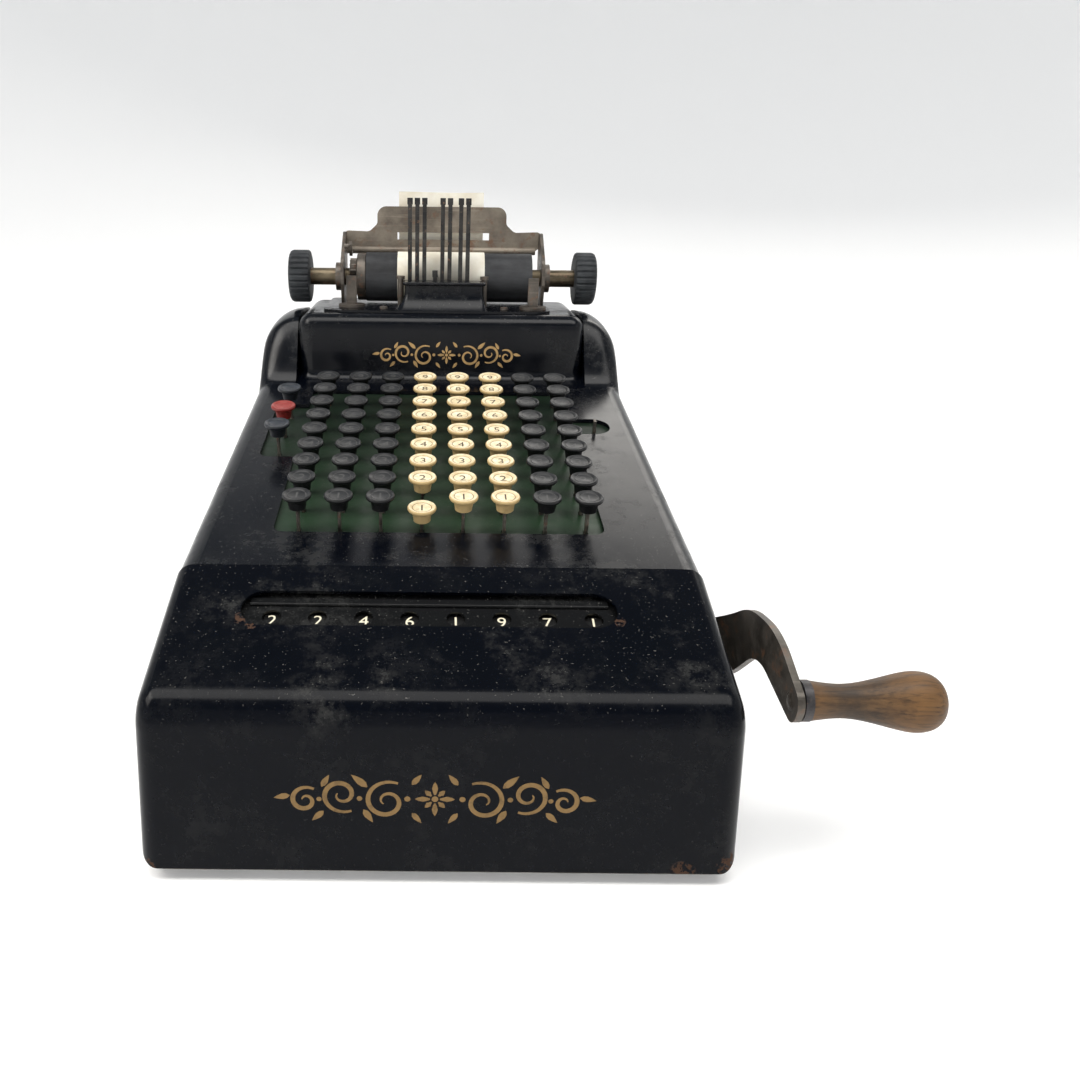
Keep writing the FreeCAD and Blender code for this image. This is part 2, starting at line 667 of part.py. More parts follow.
def key(name, x, v, top="keytop_height"):
    """A moulded cap with a dished top on a flat steel stem."""
    bottom = f"{top} - cap_height"
    disc = cylinder(name + "_disc", (x, v, f"{top} - keytop_rim"), "keytop_diameter / 2", "keytop_rim")
    neck = cone(name + "_neck", (x, v, bottom), "neck_bottom / 2", "neck_top / 2", "cap_height - keytop_rim")
    dish = doc.addObject("Part::Sphere", name + "_dish")
    bind(dish, Radius="dish_radius")
    bind_base(dish, (x, v, f"{top} + dish_radius - dish_depth"))
    corner = (f"{x} - stem_thickness / 2", f"{v} - stem_width / 2")
    socket = box(name + "_socket", (*corner, bottom), ("stem_thickness", "stem_width", "stem_insertion"))
    cap = cut(name + "_cap", fuse(name + "_solid", disc, neck), dish, socket)
    length = f"{bottom} + stem_insertion + stem_reach"
    stem = box(name + "_stem", (*corner, "-stem_reach"), ("stem_thickness", "stem_width", length))
    return cap, stem


def keys():
    for column in range(COLUMNS):
        pieces = []
        for row in range(ROWS):
            pressed = column + 1 == PRESSED_COLUMN and row == 0
            if not pressed:
                pieces += key(f"key_{column + 1}_{row + 1}", column_place(column), row_place(row))
        finish(group(f"column_{column + 1}", *pieces), f"key_column_{column + 1}", on_deck=True)
    held = key("held_key", column_place(PRESSED_COLUMN - 1), row_place(0), "(keytop_height - key_travel)")
    finish(group("held_key_pieces", *held), "held_down_key", on_deck=True)
    for side, v in CONTROL_PLACES.items():
        pieces = key("control_" + side, "-control_column", v)
        finish(group("control_" + side + "_pieces", *pieces), "control_key_" + side, on_deck=True)
    corner = ("bare_stem_column - stem_thickness / 2", f"{BARE_STEM_PLACE} - stem_width / 2", "-stem_reach")
    bare = box("bare_stem", corner, ("stem_thickness", "stem_width", "bare_stem_height + stem_reach"))
    finish(bare, "bare_key_stem", on_deck=True)


# ---------------------------------------------------------------- frames, wheels

WHEEL_AXIS_DOWN = f"({SLOT_REAR} - window_centre)"
WHEEL_ROW = (f"(-seam_back + {WHEEL_AXIS_DOWN} * cos(cover_angle)"
             " + (wheel_depth + wheel_radius) * sin(cover_angle))")
WHEEL_HEIGHT = (f"({SEAM_HEIGHT} + {WHEEL_AXIS_DOWN} * sin(cover_angle)"
                " - (wheel_depth + wheel_radius) * cos(cover_angle))")


def side_frames():
    outline = [("-176", "case_bottom"), ("185", "case_bottom"), ("185", "130", "10"), ("96", "130", "20"),
               ("-122", "94", "8"), ("-176", "72", "8")]
    holes = [(WHEEL_ROW, WHEEL_HEIGHT, "shaft_radius"),
             ("-hub_row", "hub_height", "crank_radius + running_gap"),
             ("40", "70", "22"), ("-20", "60", "14")]
    for side, place in (("left", "-frame_left"), ("right", "frame_right - frame_sheet")):
        body = plate(f"frame_{side}", "YZ_Plane", outline, "frame_sheet", offset=place, circles=holes)
        finish(body, f"side_frame_{side}")


def tie_rods():
    length = "frame_left + frame_right - 2 * frame_sheet"
    rods = [cylinder(f"rod_{number}", ("-frame_left + frame_sheet", y, z), "rod_radius", length, "x")
            for number, (y, z) in enumerate((("-165", "20"), ("150", "20"), ("170", "110")), 1)]
    finish(group("rods", *rods), "tie_rods")


def number_wheels():
    axis = (WHEEL_ROW, WHEEL_HEIGHT)
    rod = cylinder("wheel_rod", ("-frame_left", *axis), "shaft_radius", "frame_left + frame_right", "x")
    finish(rod, "wheel_shaft")
    for number, x in enumerate(wheel_places(), 1):
        rim = cylinder(f"rim_{number}", (f"{x} - wheel_width / 2", *axis), "wheel_radius", "wheel_width", "x")
        gear = cylinder(f"gear_{number}", (f"{x} + wheel_width / 2", *axis), "gear_radius", "gear_width", "x")
        bore = cylinder(f"bore_{number}", (f"{x} - wheel_width", *axis), "shaft_radius + running_gap",
                        "3 * wheel_width", "x")
        wheel = cut(f"wheel_{number}", fuse(f"wheel_solid_{number}", rim, gear), bore)
        finish(wheel, f"number_wheel_{number}")


# ---------------------------------------------------------------- crank

def crank():
    hub, row = "-hub_row", "-grip_row"
    length = "arm_inner - shaft_end"
    rod = cylinder("crank_rod", ("shaft_end", hub, "hub_height"), "crank_radius", length, "x")
    finish(rod, "crank_shaft")
    ring = cylinder("bushing_ring", ("arm_inner - 7.5", hub, "hub_height"), "boss_radius", "5", "x")
    bore = cylinder("bushing_bore", ("arm_inner - 10", hub, "hub_height"), "crank_radius + running_gap", "12",
                    "x")
    finish(cut("bushing", ring, bore), "crank_bushing")
    # the arm is a flat bar, bent in its own plane and joggled outwards beside the case
    outline = [("-38", "9", "12"), ("-30", "30", "12"), ("-110", "83", "60"), ("-146", "88", "55"),
               ("-182", "72.6", "6.6"), ("-176", "59.9", "6.6"), ("-128", "68.5", "30"), ("-62", "13", "12")]
    flat = plate("arm_outline", "YZ_Plane", outline, "60", offset="100")
    joggle = [("arm_inner", "0"), ("arm_inner", "-64", "36"), ("arm_outer", "-94", "33"),
              ("arm_outer", "-200"), ("arm_outer + arm_sheet", "-200"),
              ("arm_outer + arm_sheet", "-93.2", "36"),
              ("arm_inner + arm_sheet", "-63.2", "33"), ("arm_inner + arm_sheet", "0")]
    strip = plate("arm_strip", "XY_Plane", joggle, "120")
    boss = cylinder("arm_boss", ("arm_inner + arm_sheet - 0.5", hub, "hub_height"), "boss_radius", "4", "x")
    pin = cylinder("handle_pin", ("arm_outer + arm_sheet - 0.5", row, "grip_height"), "grip_pin", "44", "x")
    finish(fuse("arm", common("arm_bar", flat, strip), boss, pin), "crank_arm")
    start = "(arm_outer + arm_sheet + 0.5)"
    hole = cylinder("ferrule_bore", (start + " - 1", row, "grip_height"), "grip_pin + running_gap", "8", "x")
    collar = cylinder("ferrule_ring", (start, row, "grip_height"), "ferrule_radius", "ferrule_width", "x")
    finish(cut("ferrule", collar, hole), "handle_ferrule")
    turned_grip(start + " + ferrule_width")


def turned_grip(start):
    """The wooden handle: a neck near the arm and a swelling towards its rounded end."""
    first, last = value(start), value("grip_end")
    length = last - first
    contour = [(0.0, 8.2), (0.12, 7.3), (0.25, 6.9), (0.45, 8.4), (0.66, 11.2), (0.8, 12.3), (0.92, 10.9),
               (1.0, 5.5)]          # share of the length, radius
    curve = Part.BSplineCurve()
    curve.interpolate([Vector(first + share * length, radius, 0) for share, radius in contour])
    body = new_body("grip")
    drawing = new_sketch(body, "grip_contour", "XY_Plane")
    drawing.addGeometry(curve, False)
    corners = [Vector(last, contour[-1][1], 0), Vector(last, 0, 0), Vector(first, 0, 0),
               Vector(first, contour[0][1], 0)]
    for begin, end in zip(corners, corners[1:]):
        drawing.addGeometry(Part.LineSegment(begin, end), False)
    turned = body.newObject("PartDesign::Revolution", "grip_turned")
    turned.Profile = drawing
    turned.ReferenceAxis = (drawing, ["H_Axis"])
    body.Tip = turned
    body.Placement = Placement(Vector(0, -value("grip_row"), value("grip_height")), Rotation())
    mouth = (start + " - 1", "-grip_row", "grip_height")
    hole = cylinder("grip_bore", mouth, "grip_pin + running_gap", "42.5", "x")
    finish(cut("grip_drilled", body, hole), "handle_grip")


# ---------------------------------------------------------------- printing

def hood_block(name, base):
    """The print hood's outside as a solid with rounded edges."""
    block = box(name + "_block", ("-hood_left", "hood_front", base),
                ("hood_left + hood_right", "hood_rear - hood_front", f"hood_top - {base}"))
    return fillet(name, block, "hood_radius", lambda edge: edge.CenterOfMass.z > value(base) + 1)


def rounded_section(left, right, front, rear, height, radius):
    """A level outline with its two front corners rounded."""
    def at(x, y):
        return Vector(x, y, height)

    slant = radius * (1 - math.sqrt(0.5))
    left_low, left_in = at(left, front + radius), at(left + radius, front)
    right_low, right_in = at(right, front + radius), at(right - radius, front)
    return Part.Wire([
        Part.makeLine(at(left, rear), left_low),
        Part.Arc(left_low, at(left + slant, front + slant), left_in).toShape(),
        Part.makeLine(left_in, right_in),
        Part.Arc(right_in, at(right - slant, front + slant), right_low).toShape(),
        Part.makeLine(right_low, at(right, rear)),
        Part.makeLine(at(right, rear), at(left, rear))])


def hood_foot():
    """The flare that curves out from the hood's front on to the deck."""
    size, low = value("flare"), value("hood_base") - 2
    front = value("hood_front")
    sections = []
    for turn in (0, 22, 45, 68, 90):
        out = size * (1 - math.sin(math.radians(turn)))
        up = size * (1 - math.cos(math.radians(turn)))
        sections.append(rounded_section(-value("hood_left") - out, value("hood_right") + out, front - out,
                                        front + 11, low + up, value("hood_radius") + out))
    flared = doc.addObject("Part::Feature", "foot_flare")
    flared.Shape = Part.makeLoft(sections, True, False)
    under = plate("foot_under", "XY_Plane", rectangle("-150", "150", "-150", "150"), "40", offset="-40")
    under.Placement = DECK
    inside = box("foot_inside", ("-hood_left", "hood_front + hood_radius", "130"),
                 ("hood_left + hood_right", "20", "30"))
    return cut("foot", common("foot_in_bay", flared, hood_bay("foot_bay", "130")), under, inside,
               hood_block("foot_hood", "hood_base - 10"))


def print_hood():
    space = box("hood_space", ("-hood_left + cover_sheet", "hood_front + cover_sheet", "hood_base - 5"),
                ("hood_left + hood_right - 2 * cover_sheet", "hood_rear - hood_front - 2 * cover_sheet",
                 "hood_top - hood_base - cover_sheet + 5"))
    hollow = fillet("hood_space_rounded", space, "hood_radius - cover_sheet",
                    lambda edge: edge.CenterOfMass.z > value("hood_base") - 4)
    opening = box("hood_bar_opening", ("-bar_slot_left", "bar_slot_front", "170"),
                  ("bar_slot_left + bar_slot_right", "bar_slot_rear - bar_slot_front", "30"))
    shell = cut("hood_shell", hood_block("hood_rounded", "hood_base"), hollow, opening)
    finish(fuse("hood", shell, hood_foot()), "print_hood")


def hood_top_plate():
    outline = [("-74", "117", "5"), ("-62", "110.5", "8"), ("60", "110.5", "8"), ("70", "116", "6"),
               ("70", "182", "4"), ("-74", "182", "4")]
    body = plate("top_sheet", "XY_Plane", outline, "top_sheet", offset="hood_top")
    slots = [rectangle("-bar_slot_left", "bar_slot_right", "bar_slot_front", "bar_slot_rear"),
             rectangle("-69", "-58", "115.5", "118.5")]
    pocket(body, "top_slots", "XY_Plane", slots, offset="hood_top")
    finish(body, "hood_top_plate")


HOOD_PLATE = "(hood_top + top_sheet)"         # height that the carriage stands on


def hood_screws():
    heads = []
    for number, (x, y) in enumerate((("-36", "122"), ("41", "122"), ("-60", "176"), ("62", "176")), 1):
        heads.append(cylinder(f"screw_{number}", (x, y, HOOD_PLATE), "screw_radius", "screw_head"))
    finish(group("screws", *heads), "hood_screws")


def bar_places():
    """The type bars stand in three sets, the last of two bars, with gaps between the sets."""
    starts = (-19.6, -3.4, 12.8)
    return [f"({start} + {step} * bar_pitch)" for start in starts for step in range(3)][:COLUMNS]


def type_bars():
    for number, x in enumerate(bar_places(), 1):
        top = "low_bar_top" if number == LOW_BAR else "bar_top"
        front = "bar_row - bar_depth / 2"
        shank = box(f"bar_shank_{number}", (f"{x} - bar_width / 2", front, f"{top} - bar_length"),
                    ("bar_width", "bar_depth", "bar_length - bar_head"))
        head = box(f"bar_head_{number}", (f"{x} - bar_width / 2 - 0.4", front, f"{top} - bar_head"),
                   ("bar_width + 0.8", "bar_depth + 1", "bar_head"))
        finish(fuse(f"bar_{number}", shank, head), f"type_bar_{number}")


def type_guide():
    """A shield before the type bars, that flares out at its foot and has a lip along its top."""
    base, top, rear = value(HOOD_PLATE), 203.2, 133.6
    sections = []
    for share in (0, 0.1, 0.22, 0.36, 0.55, 0.75, 1):
        spread = (1 - min(1.0, share / 0.75)) ** 2
        sections.append(rounded_section(-22.3 - 5.3 * spread, 27.4 + 2.5 * spread, 119.5 - 7.0 * spread, rear,
                                        base + share * (top - 1.0 - base), 3.0))
    body = doc.addObject("Part::Feature", "guide_body")
    body.Shape = Part.makeLoft(sections, True, False)
    lip = doc.addObject("Part::Feature", "guide_lip")
    lip.Shape = Part.makeLoft([rounded_section(-23.7 + pull, 28.9 - pull, 118.3 + pull, rear, height, 3.0)
                               for pull, height in ((0.9, top - 2.2), (0.0, top - 1.3), (0.2, top - 0.5),
                                                    (1.2, top))], True, False)
    finish(fuse("guide", body, lip), "type_guide")


def ribbon_posts():
    pieces = []
    for side, x in (("left", "-25.6"), ("right", "28.6")):
        post = cylinder(f"post_{side}", (x, "post_row", HOOD_PLATE), "2", "post_height")
        cap = cylinder(f"post_cap_{side}", (x, "post_row", f"{HOOD_PLATE} + post_height"), "2.75", "2")
        pieces.append(fuse(f"ribbon_post_{side}", post, cap))
    finish(group("posts", *pieces), "ribbon_posts")


def platen():
    axis = ("platen_row", "platen_height")
    length = "(platen_left + platen_right)"
    tube = cylinder("platen_tube", ("-platen_left", *axis), "platen_radius", length, "x")
    core = cylinder("platen_core", ("-platen_left - 5", *axis), "spindle_radius", length + " + 10", "x")
    finish(cut("platen", tube, core), "platen_roller")
    length = "knob_left + knob_right - 2"
    spindle = cylinder("spindle", ("-knob_left + 1", *axis), "spindle_radius", length, "x")
    finish(spindle, "platen_shaft")
    for side, x in (("left", "-knob_left"), ("right", "knob_right - knob_width")):
        platen_knob(side, x)
    gear = cylinder("ratchet_disc", ("-platen_left - drum_width - ratchet_width", *axis), "ratchet_radius",
                    "ratchet_width", "x")
    drum = cylinder("ratchet_drum", ("-platen_left - drum_width", *axis), "drum_radius", "drum_width", "x")
    hole = cylinder("ratchet_hole", ("-platen_left - 15", *axis), "spindle_radius", "20", "x")
    finish(cut("ratchet", fuse("ratchet_solid", gear, drum), hole), "platen_ratchet")


def platen_knob(side, x):
    """A knob with flutes round its rim."""
    body = new_body(f"knob_{side}")
    drawing = new_sketch(body, f"knob_{side}_outline", "YZ_Plane", x)
    draw_circle(drawing, "0", "0", "knob_radius")
    draw_circle(drawing, "0", "0", "spindle_radius")
    pad = body.newObject("PartDesign::Pad", f"knob_{side}_pad")
    pad.Profile = drawing
    bind(pad, Length="knob_width")
    body.Tip = pad
    groove = ("knob_radius + 0.5", "0", "flute_radius")
    flute = pocket(body, f"flute_{side}", "YZ_Plane", (), [groove], offset=x)
    pattern = body.newObject("PartDesign::PolarPattern", f"flutes_{side}")
    pattern.Originals = [flute]
    pattern.Axis = (drawing, ["N_Axis"])
    pattern.Angle = 360
    pattern.Occurrences = FLUTES
    body.Tip = pattern
    place = Placement(Vector(0, value("platen_row"), value("platen_height")), Rotation())
    finish(body, f"platen_knob_{side}", place=place)


def carriage():
    outline = [("146", HOOD_PLATE), ("175.5", HOOD_PLATE), ("175.5", "231", "3"), ("167", "231", "4"),
               ("143", "214", "6"), ("141", "200", "4")]
    hole = [("platen_row", "platen_height", "spindle_radius + running_gap")]
    for side, x, boss in (("left", "-carriage_left", "-carriage_left - 4"),
                          ("right", "carriage_right - carriage_sheet", "carriage_right")):
        sheet_body = plate(f"carriage_sheet_{side}", "YZ_Plane", outline, "carriage_sheet", x, hole)
        ring = cylinder(f"carriage_ring_{side}", (boss, "platen_row", "platen_height"), "9", "4", "x")
        bore = cylinder(f"carriage_bore_{side}", (f"{boss} - 1", "platen_row", "platen_height"),
                        "spindle_radius + running_gap", "6", "x")
        bearing = cut(f"carriage_boss_{side}", ring, bore)
        finish(fuse(f"carriage_{side}", sheet_body, bearing), f"carriage_side_{side}")
    posts = []
    for side, x, y in (("left", "-57.2", "133"), ("right", "59.6", "126")):
        flange = cylinder(f"flange_{side}", (x, y, HOOD_PLATE), "8.5", "1.5")
        bar = box(f"bracket_{side}", (f"{x} - 3.25", f"{y} - 1.5", HOOD_PLATE), ("6.5", "3", "19"))
        posts.append(fuse(f"carriage_post_{side}", flange, bar))
    finish(group("carriage_post_pair", *posts), "carriage_posts")


def paper_table():
    outline = [("-63", "table_low"), ("64.4", "table_low"), ("68.2", "222"), ("68.2", "231.6", "3"),
               ("50", "231", "5"), ("44.4", "236", "4"), ("44.4", "247.2", "6"), ("-42.5", "247.2", "6"),
               ("-42.5", "236", "4"), ("-48", "231", "5"), ("-65", "231.6", "3"), ("-65", "222")]
    body = plate("table_sheet_body", "XZ_Plane", outline, "table_sheet", offset="-table_row - table_sheet")
    pocket(body, "table_slot", "XZ_Plane", [rectangle("-29", "33", "226", "230.6")], offset="-table_row")
    roll = cylinder("table_roll", ("-63", "table_row - table_sheet / 2", "table_low"), "2.4", "127.4", "x")
    finish(fuse("table", body, roll), "paper_table")


def paper_strip():
    """Paper that comes round the front of the platen, under the table's roll and up behind the table."""
    radius, thick = value("platen_radius") + 0.35, 0.35
    left = -value("paper_left")
    centre = Vector(left, value("platen_row"), value("platen_height"))
    start, leave = 235, 75          # angles about the platen's axis
    slope = math.tan(math.radians(leave - 90))
    top, rear = value("paper_top"), value("table_row") + 5.5

    def around(angle, distance):
        spot = math.radians(angle)
        return centre + Vector(0, math.cos(spot) * distance, math.sin(spot) * distance)

    def one_face(distance, back):
        """Edges of one face of the sheet, from the start of its arc to its top edge."""
        off = around(leave, distance)
        bend = Vector(left, back, off.z + (back - off.y) * slope)
        arc = Part.Arc(around(start, distance), around((start + leave) / 2, distance), off).toShape()
        return [arc, Part.makeLine(off, bend), Part.makeLine(bend, Vector(left, back, top))]

    edges = one_face(radius, rear) + one_face(radius + thick, rear - thick)
    edges.append(Part.makeLine(Vector(left, rear, top), Vector(left, rear - thick, top)))
    edges.append(Part.makeLine(around(start, radius), around(start, radius + thick)))
    face = Part.Face(Part.Wire(Part.__sortEdges__(edges)))
    item = doc.addObject("Part::Feature", "paper")
    item.Shape = face.extrude(Vector(value("paper_width"), 0, 0))
    finish(item, "paper_strip")


def ratchet_pawl():
    """A finger on its own pin that clicks into the platen's ratchet."""
    outline = [("145.5", "224"), ("147", "220.5"), ("151.6", "216.6"), ("153.2", "218"), ("150.5", "222.5"),
               ("149", "226")]
    finger = plate("pawl_finger", "YZ_Plane", outline, "2", offset="-platen_left - drum_width - ratchet_width")
    pin = cylinder("pawl_pin", ("-platen_left - 14", "148", "223"), "1.5", "5", "x")
    finish(fuse("pawl", finger, pin), "ratchet_pawl")


for make in (base_plate, rubber_feet, main_case, front_cover, dial_cover, keyboard_plate, keys, side_frames,
             tie_rods, number_wheels, crank, print_hood, hood_top_plate, hood_screws, type_bars, type_guide,
             ribbon_posts, platen, carriage, paper_table, paper_strip, ratchet_pawl):
    make()
doc.recompute()

for item in doc.Objects:
    if "Invalid" in item.State or "Error" in item.State:
        raise RuntimeError(f"{item.Label} failed: {item.State}")
for item in FINISHED:
    if item.Shape.isNull() or not item.Shape.isValid() or not item.Shape.Solids:
        raise RuntimeError(f"{item.Label} has no valid solid")

os.makedirs("parts", exist_ok=True)
for item in FINISHED:
    item.Shape.exportStep(f"parts/{item.Label}.step")
print(len(FINISHED), "sub-parts written")
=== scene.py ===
import json
import math
import random

import bmesh
import bpy
from mathutils import Matrix, Vector


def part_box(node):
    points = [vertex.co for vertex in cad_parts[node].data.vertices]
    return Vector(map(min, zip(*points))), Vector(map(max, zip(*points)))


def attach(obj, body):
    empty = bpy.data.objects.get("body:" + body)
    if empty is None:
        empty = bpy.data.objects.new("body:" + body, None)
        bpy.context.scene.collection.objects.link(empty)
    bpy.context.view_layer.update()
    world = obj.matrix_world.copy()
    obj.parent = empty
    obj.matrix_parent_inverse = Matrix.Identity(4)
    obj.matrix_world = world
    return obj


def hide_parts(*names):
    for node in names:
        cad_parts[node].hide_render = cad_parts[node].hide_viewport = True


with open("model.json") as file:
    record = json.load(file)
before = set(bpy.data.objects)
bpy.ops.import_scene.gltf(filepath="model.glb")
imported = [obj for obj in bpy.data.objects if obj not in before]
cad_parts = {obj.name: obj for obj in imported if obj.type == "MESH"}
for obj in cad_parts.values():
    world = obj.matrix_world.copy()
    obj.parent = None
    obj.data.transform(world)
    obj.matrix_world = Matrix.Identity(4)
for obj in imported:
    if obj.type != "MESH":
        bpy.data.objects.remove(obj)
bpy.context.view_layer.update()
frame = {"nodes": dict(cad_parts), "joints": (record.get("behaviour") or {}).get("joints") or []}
nodes = frame["nodes"]
joints = {joint["name"]: joint for joint in frame["joints"]}
rng = random.Random(1919)

# ---------------------------------------------------------------- places, in metres

MM = 0.001
case_low, case_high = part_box("main_case")
CENTRE = (case_low.x + case_high.x) / 2           # the case's own middle, in X
DECK_NORMAL = Vector(joints["key_column_1_press"]["axis"])
DECK_ALONG = Vector((0, DECK_NORMAL.z, -DECK_NORMAL.y))
DECK_ORIGIN = Vector((CENTRE, 0, 127.9 * MM))     # on the deck, at mid length
KEY_PITCH = 19.05 * MM
FIRST_ROW = -90.2 * MM                            # along the deck from its origin
KEY_TOP = 17.0 * MM                               # key tops above the deck
KEY_TRAVEL = 6.0 * MM
CAP_HEIGHT = 7.5 * MM
CONTROL_ROWS = {"rear": 42.0 * MM, "red": 15.1 * MM, "front": -9.1 * MM}
STEM_BOTTOM = -17.0 * MM                          # lower ends of the key stems, under the deck
STEM_INSERTION = 4.0 * MM                         # how far a stem goes into its cap
KEY_DIGIT_HEIGHT = 5.2 * MM
WHEEL_DIGIT_HEIGHT = 5.8 * MM
WHEEL_RADIUS = 15.0 * MM
DIAL_DIGITS = (2, 2, 4, 6, 1, 9, 7, 1)            # what the dial's windows show, from the left
KNOB_GROOVES = 26
KNOB_RADIUS = 16.8                                # of the knob's profile, in millimetres
SLOT_Z = 93.5 * MM                                # height of the dial slot
HOOD_FACE = 101.0 * MM                            # front face of the print hood


def deck_frame(x, along, height):
    """A local frame on the deck: X across, Y up the slope, Z along the key's travel."""
    place = DECK_ORIGIN + DECK_ALONG * along + DECK_NORMAL * height
    place.x = x
    turn = Matrix((Vector((1, 0, 0)), DECK_ALONG, DECK_NORMAL)).transposed().to_4x4()
    return Matrix.Translation(place) @ turn


# ---------------------------------------------------------------- camera, light, floor

def add_camera():
    """A camera before the machine, looking 20 degrees down and a little rolled."""
    data = bpy.data.cameras.new("camera")
    data.sensor_width = 36.0
    data.lens = 32.67
    data.shift_x = 0.1014
    camera = bpy.data.objects.new("camera", data)
    turn = Matrix.Rotation(math.radians(70), 4, "X") @ Matrix.Rotation(math.radians(0.6), 4, "Z")
    camera.matrix_world = Matrix.Translation((CENTRE - 0.0045, -0.518, 0.262)) @ turn
    bpy.context.scene.collection.objects.link(camera)
    bpy.context.scene.camera = camera


def add_area(name, place, target, size, power, colour):
    """A rectangular light at a place, turned towards its target."""
    data = bpy.data.lights.new(name, "AREA")
    data.shape = "RECTANGLE"
    data.size, data.size_y = size
    data.energy = power
    data.color = colour
    light = bpy.data.objects.new(name, data)
    light.location = place
    light.rotation_euler = (Vector(target) - Vector(place)).to_track_quat("-Z", "Y").to_euler()
    bpy.context.scene.collection.objects.link(light)


def add_studio():
    """A pale world, a wide soft light overhead and two smaller ones."""
    world = bpy.data.worlds.new("studio")
    world.use_nodes = True
    background = world.node_tree.nodes["Background"]
    background.inputs["Color"].default_value = (0.88, 0.94, 1.0, 1)
    background.inputs["Strength"].default_value = 0.33
    bpy.context.scene.world = world
    bpy.context.scene.view_settings.view_transform = "Standard"
    middle = (CENTRE, 0, 0.1)
    add_area("softbox", (CENTRE - 0.1, -0.34, 1.5), (CENTRE - 0.1, -0.30, 0), (2.6, 0.75), 32,
             (1.0, 0.98, 0.95))
    add_area("key_light", (-1.1, -0.5, 1.2), middle, (0.7, 0.7), 9, (1.0, 0.95, 0.88))
    add_area("back_light", (0.5, 1.3, 1.0), middle, (1.6, 0.5), 8, (1.0, 0.96, 0.9))


def add_floor():
    """A white sweep: a flat round floor whose rim curves up into a low wall."""
    flat, bend, wall, steps = 1.0, 1.9, 2.2, 96
    rim = [(flat + bend * math.sin(turn), bend * (1 - math.cos(turn)))
           for turn in (math.radians(angle) for angle in range(0, 91, 9))]
    rings = [(0.4, 0.0), *rim, (flat + bend, wall)]
    turns = [2 * math.pi * step / steps for step in range(steps)]
    points = [(0.0, 0.0, 0.0)]
    for radius, height in rings:
        points += [(radius * math.cos(turn), radius * math.sin(turn), height) for turn in turns]
    faces = [(0, 1 + step, 1 + (step + 1) % steps) for step in range(steps)]
    for ring in range(len(rings) - 1):
        low, high = 1 + ring * steps, 1 + (ring + 1) * steps
        faces += [(low + step, high + step, high + (step + 1) % steps, low + (step + 1) % steps)
                  for step in range(steps)]
    mesh = bpy.data.meshes.new("floor")
    mesh.from_pydata(points, [], faces)
    for polygon in mesh.polygons:
        polygon.use_smooth = True
    floor = bpy.data.objects.new("floor", mesh)
    bpy.context.scene.collection.objects.link(floor)
    paint = bpy.data.materials.new("pale_floor")
    paint.use_nodes = True
    shader = paint.node_tree.nodes["Principled BSDF"]
    shader.inputs["Base Color"].default_value = (0.86, 0.86, 0.86, 1)
    shader.inputs["Roughness"].default_value = 0.9
    shader.inputs["Specular IOR Level"].default_value = 0.1
    shader.inputs["Emission Color"].default_value = (1, 1, 1, 1)
    shader.inputs["Emission Strength"].default_value = 0.16
    mesh.materials.append(paint)


# ---------------------------------------------------------------- material helpers

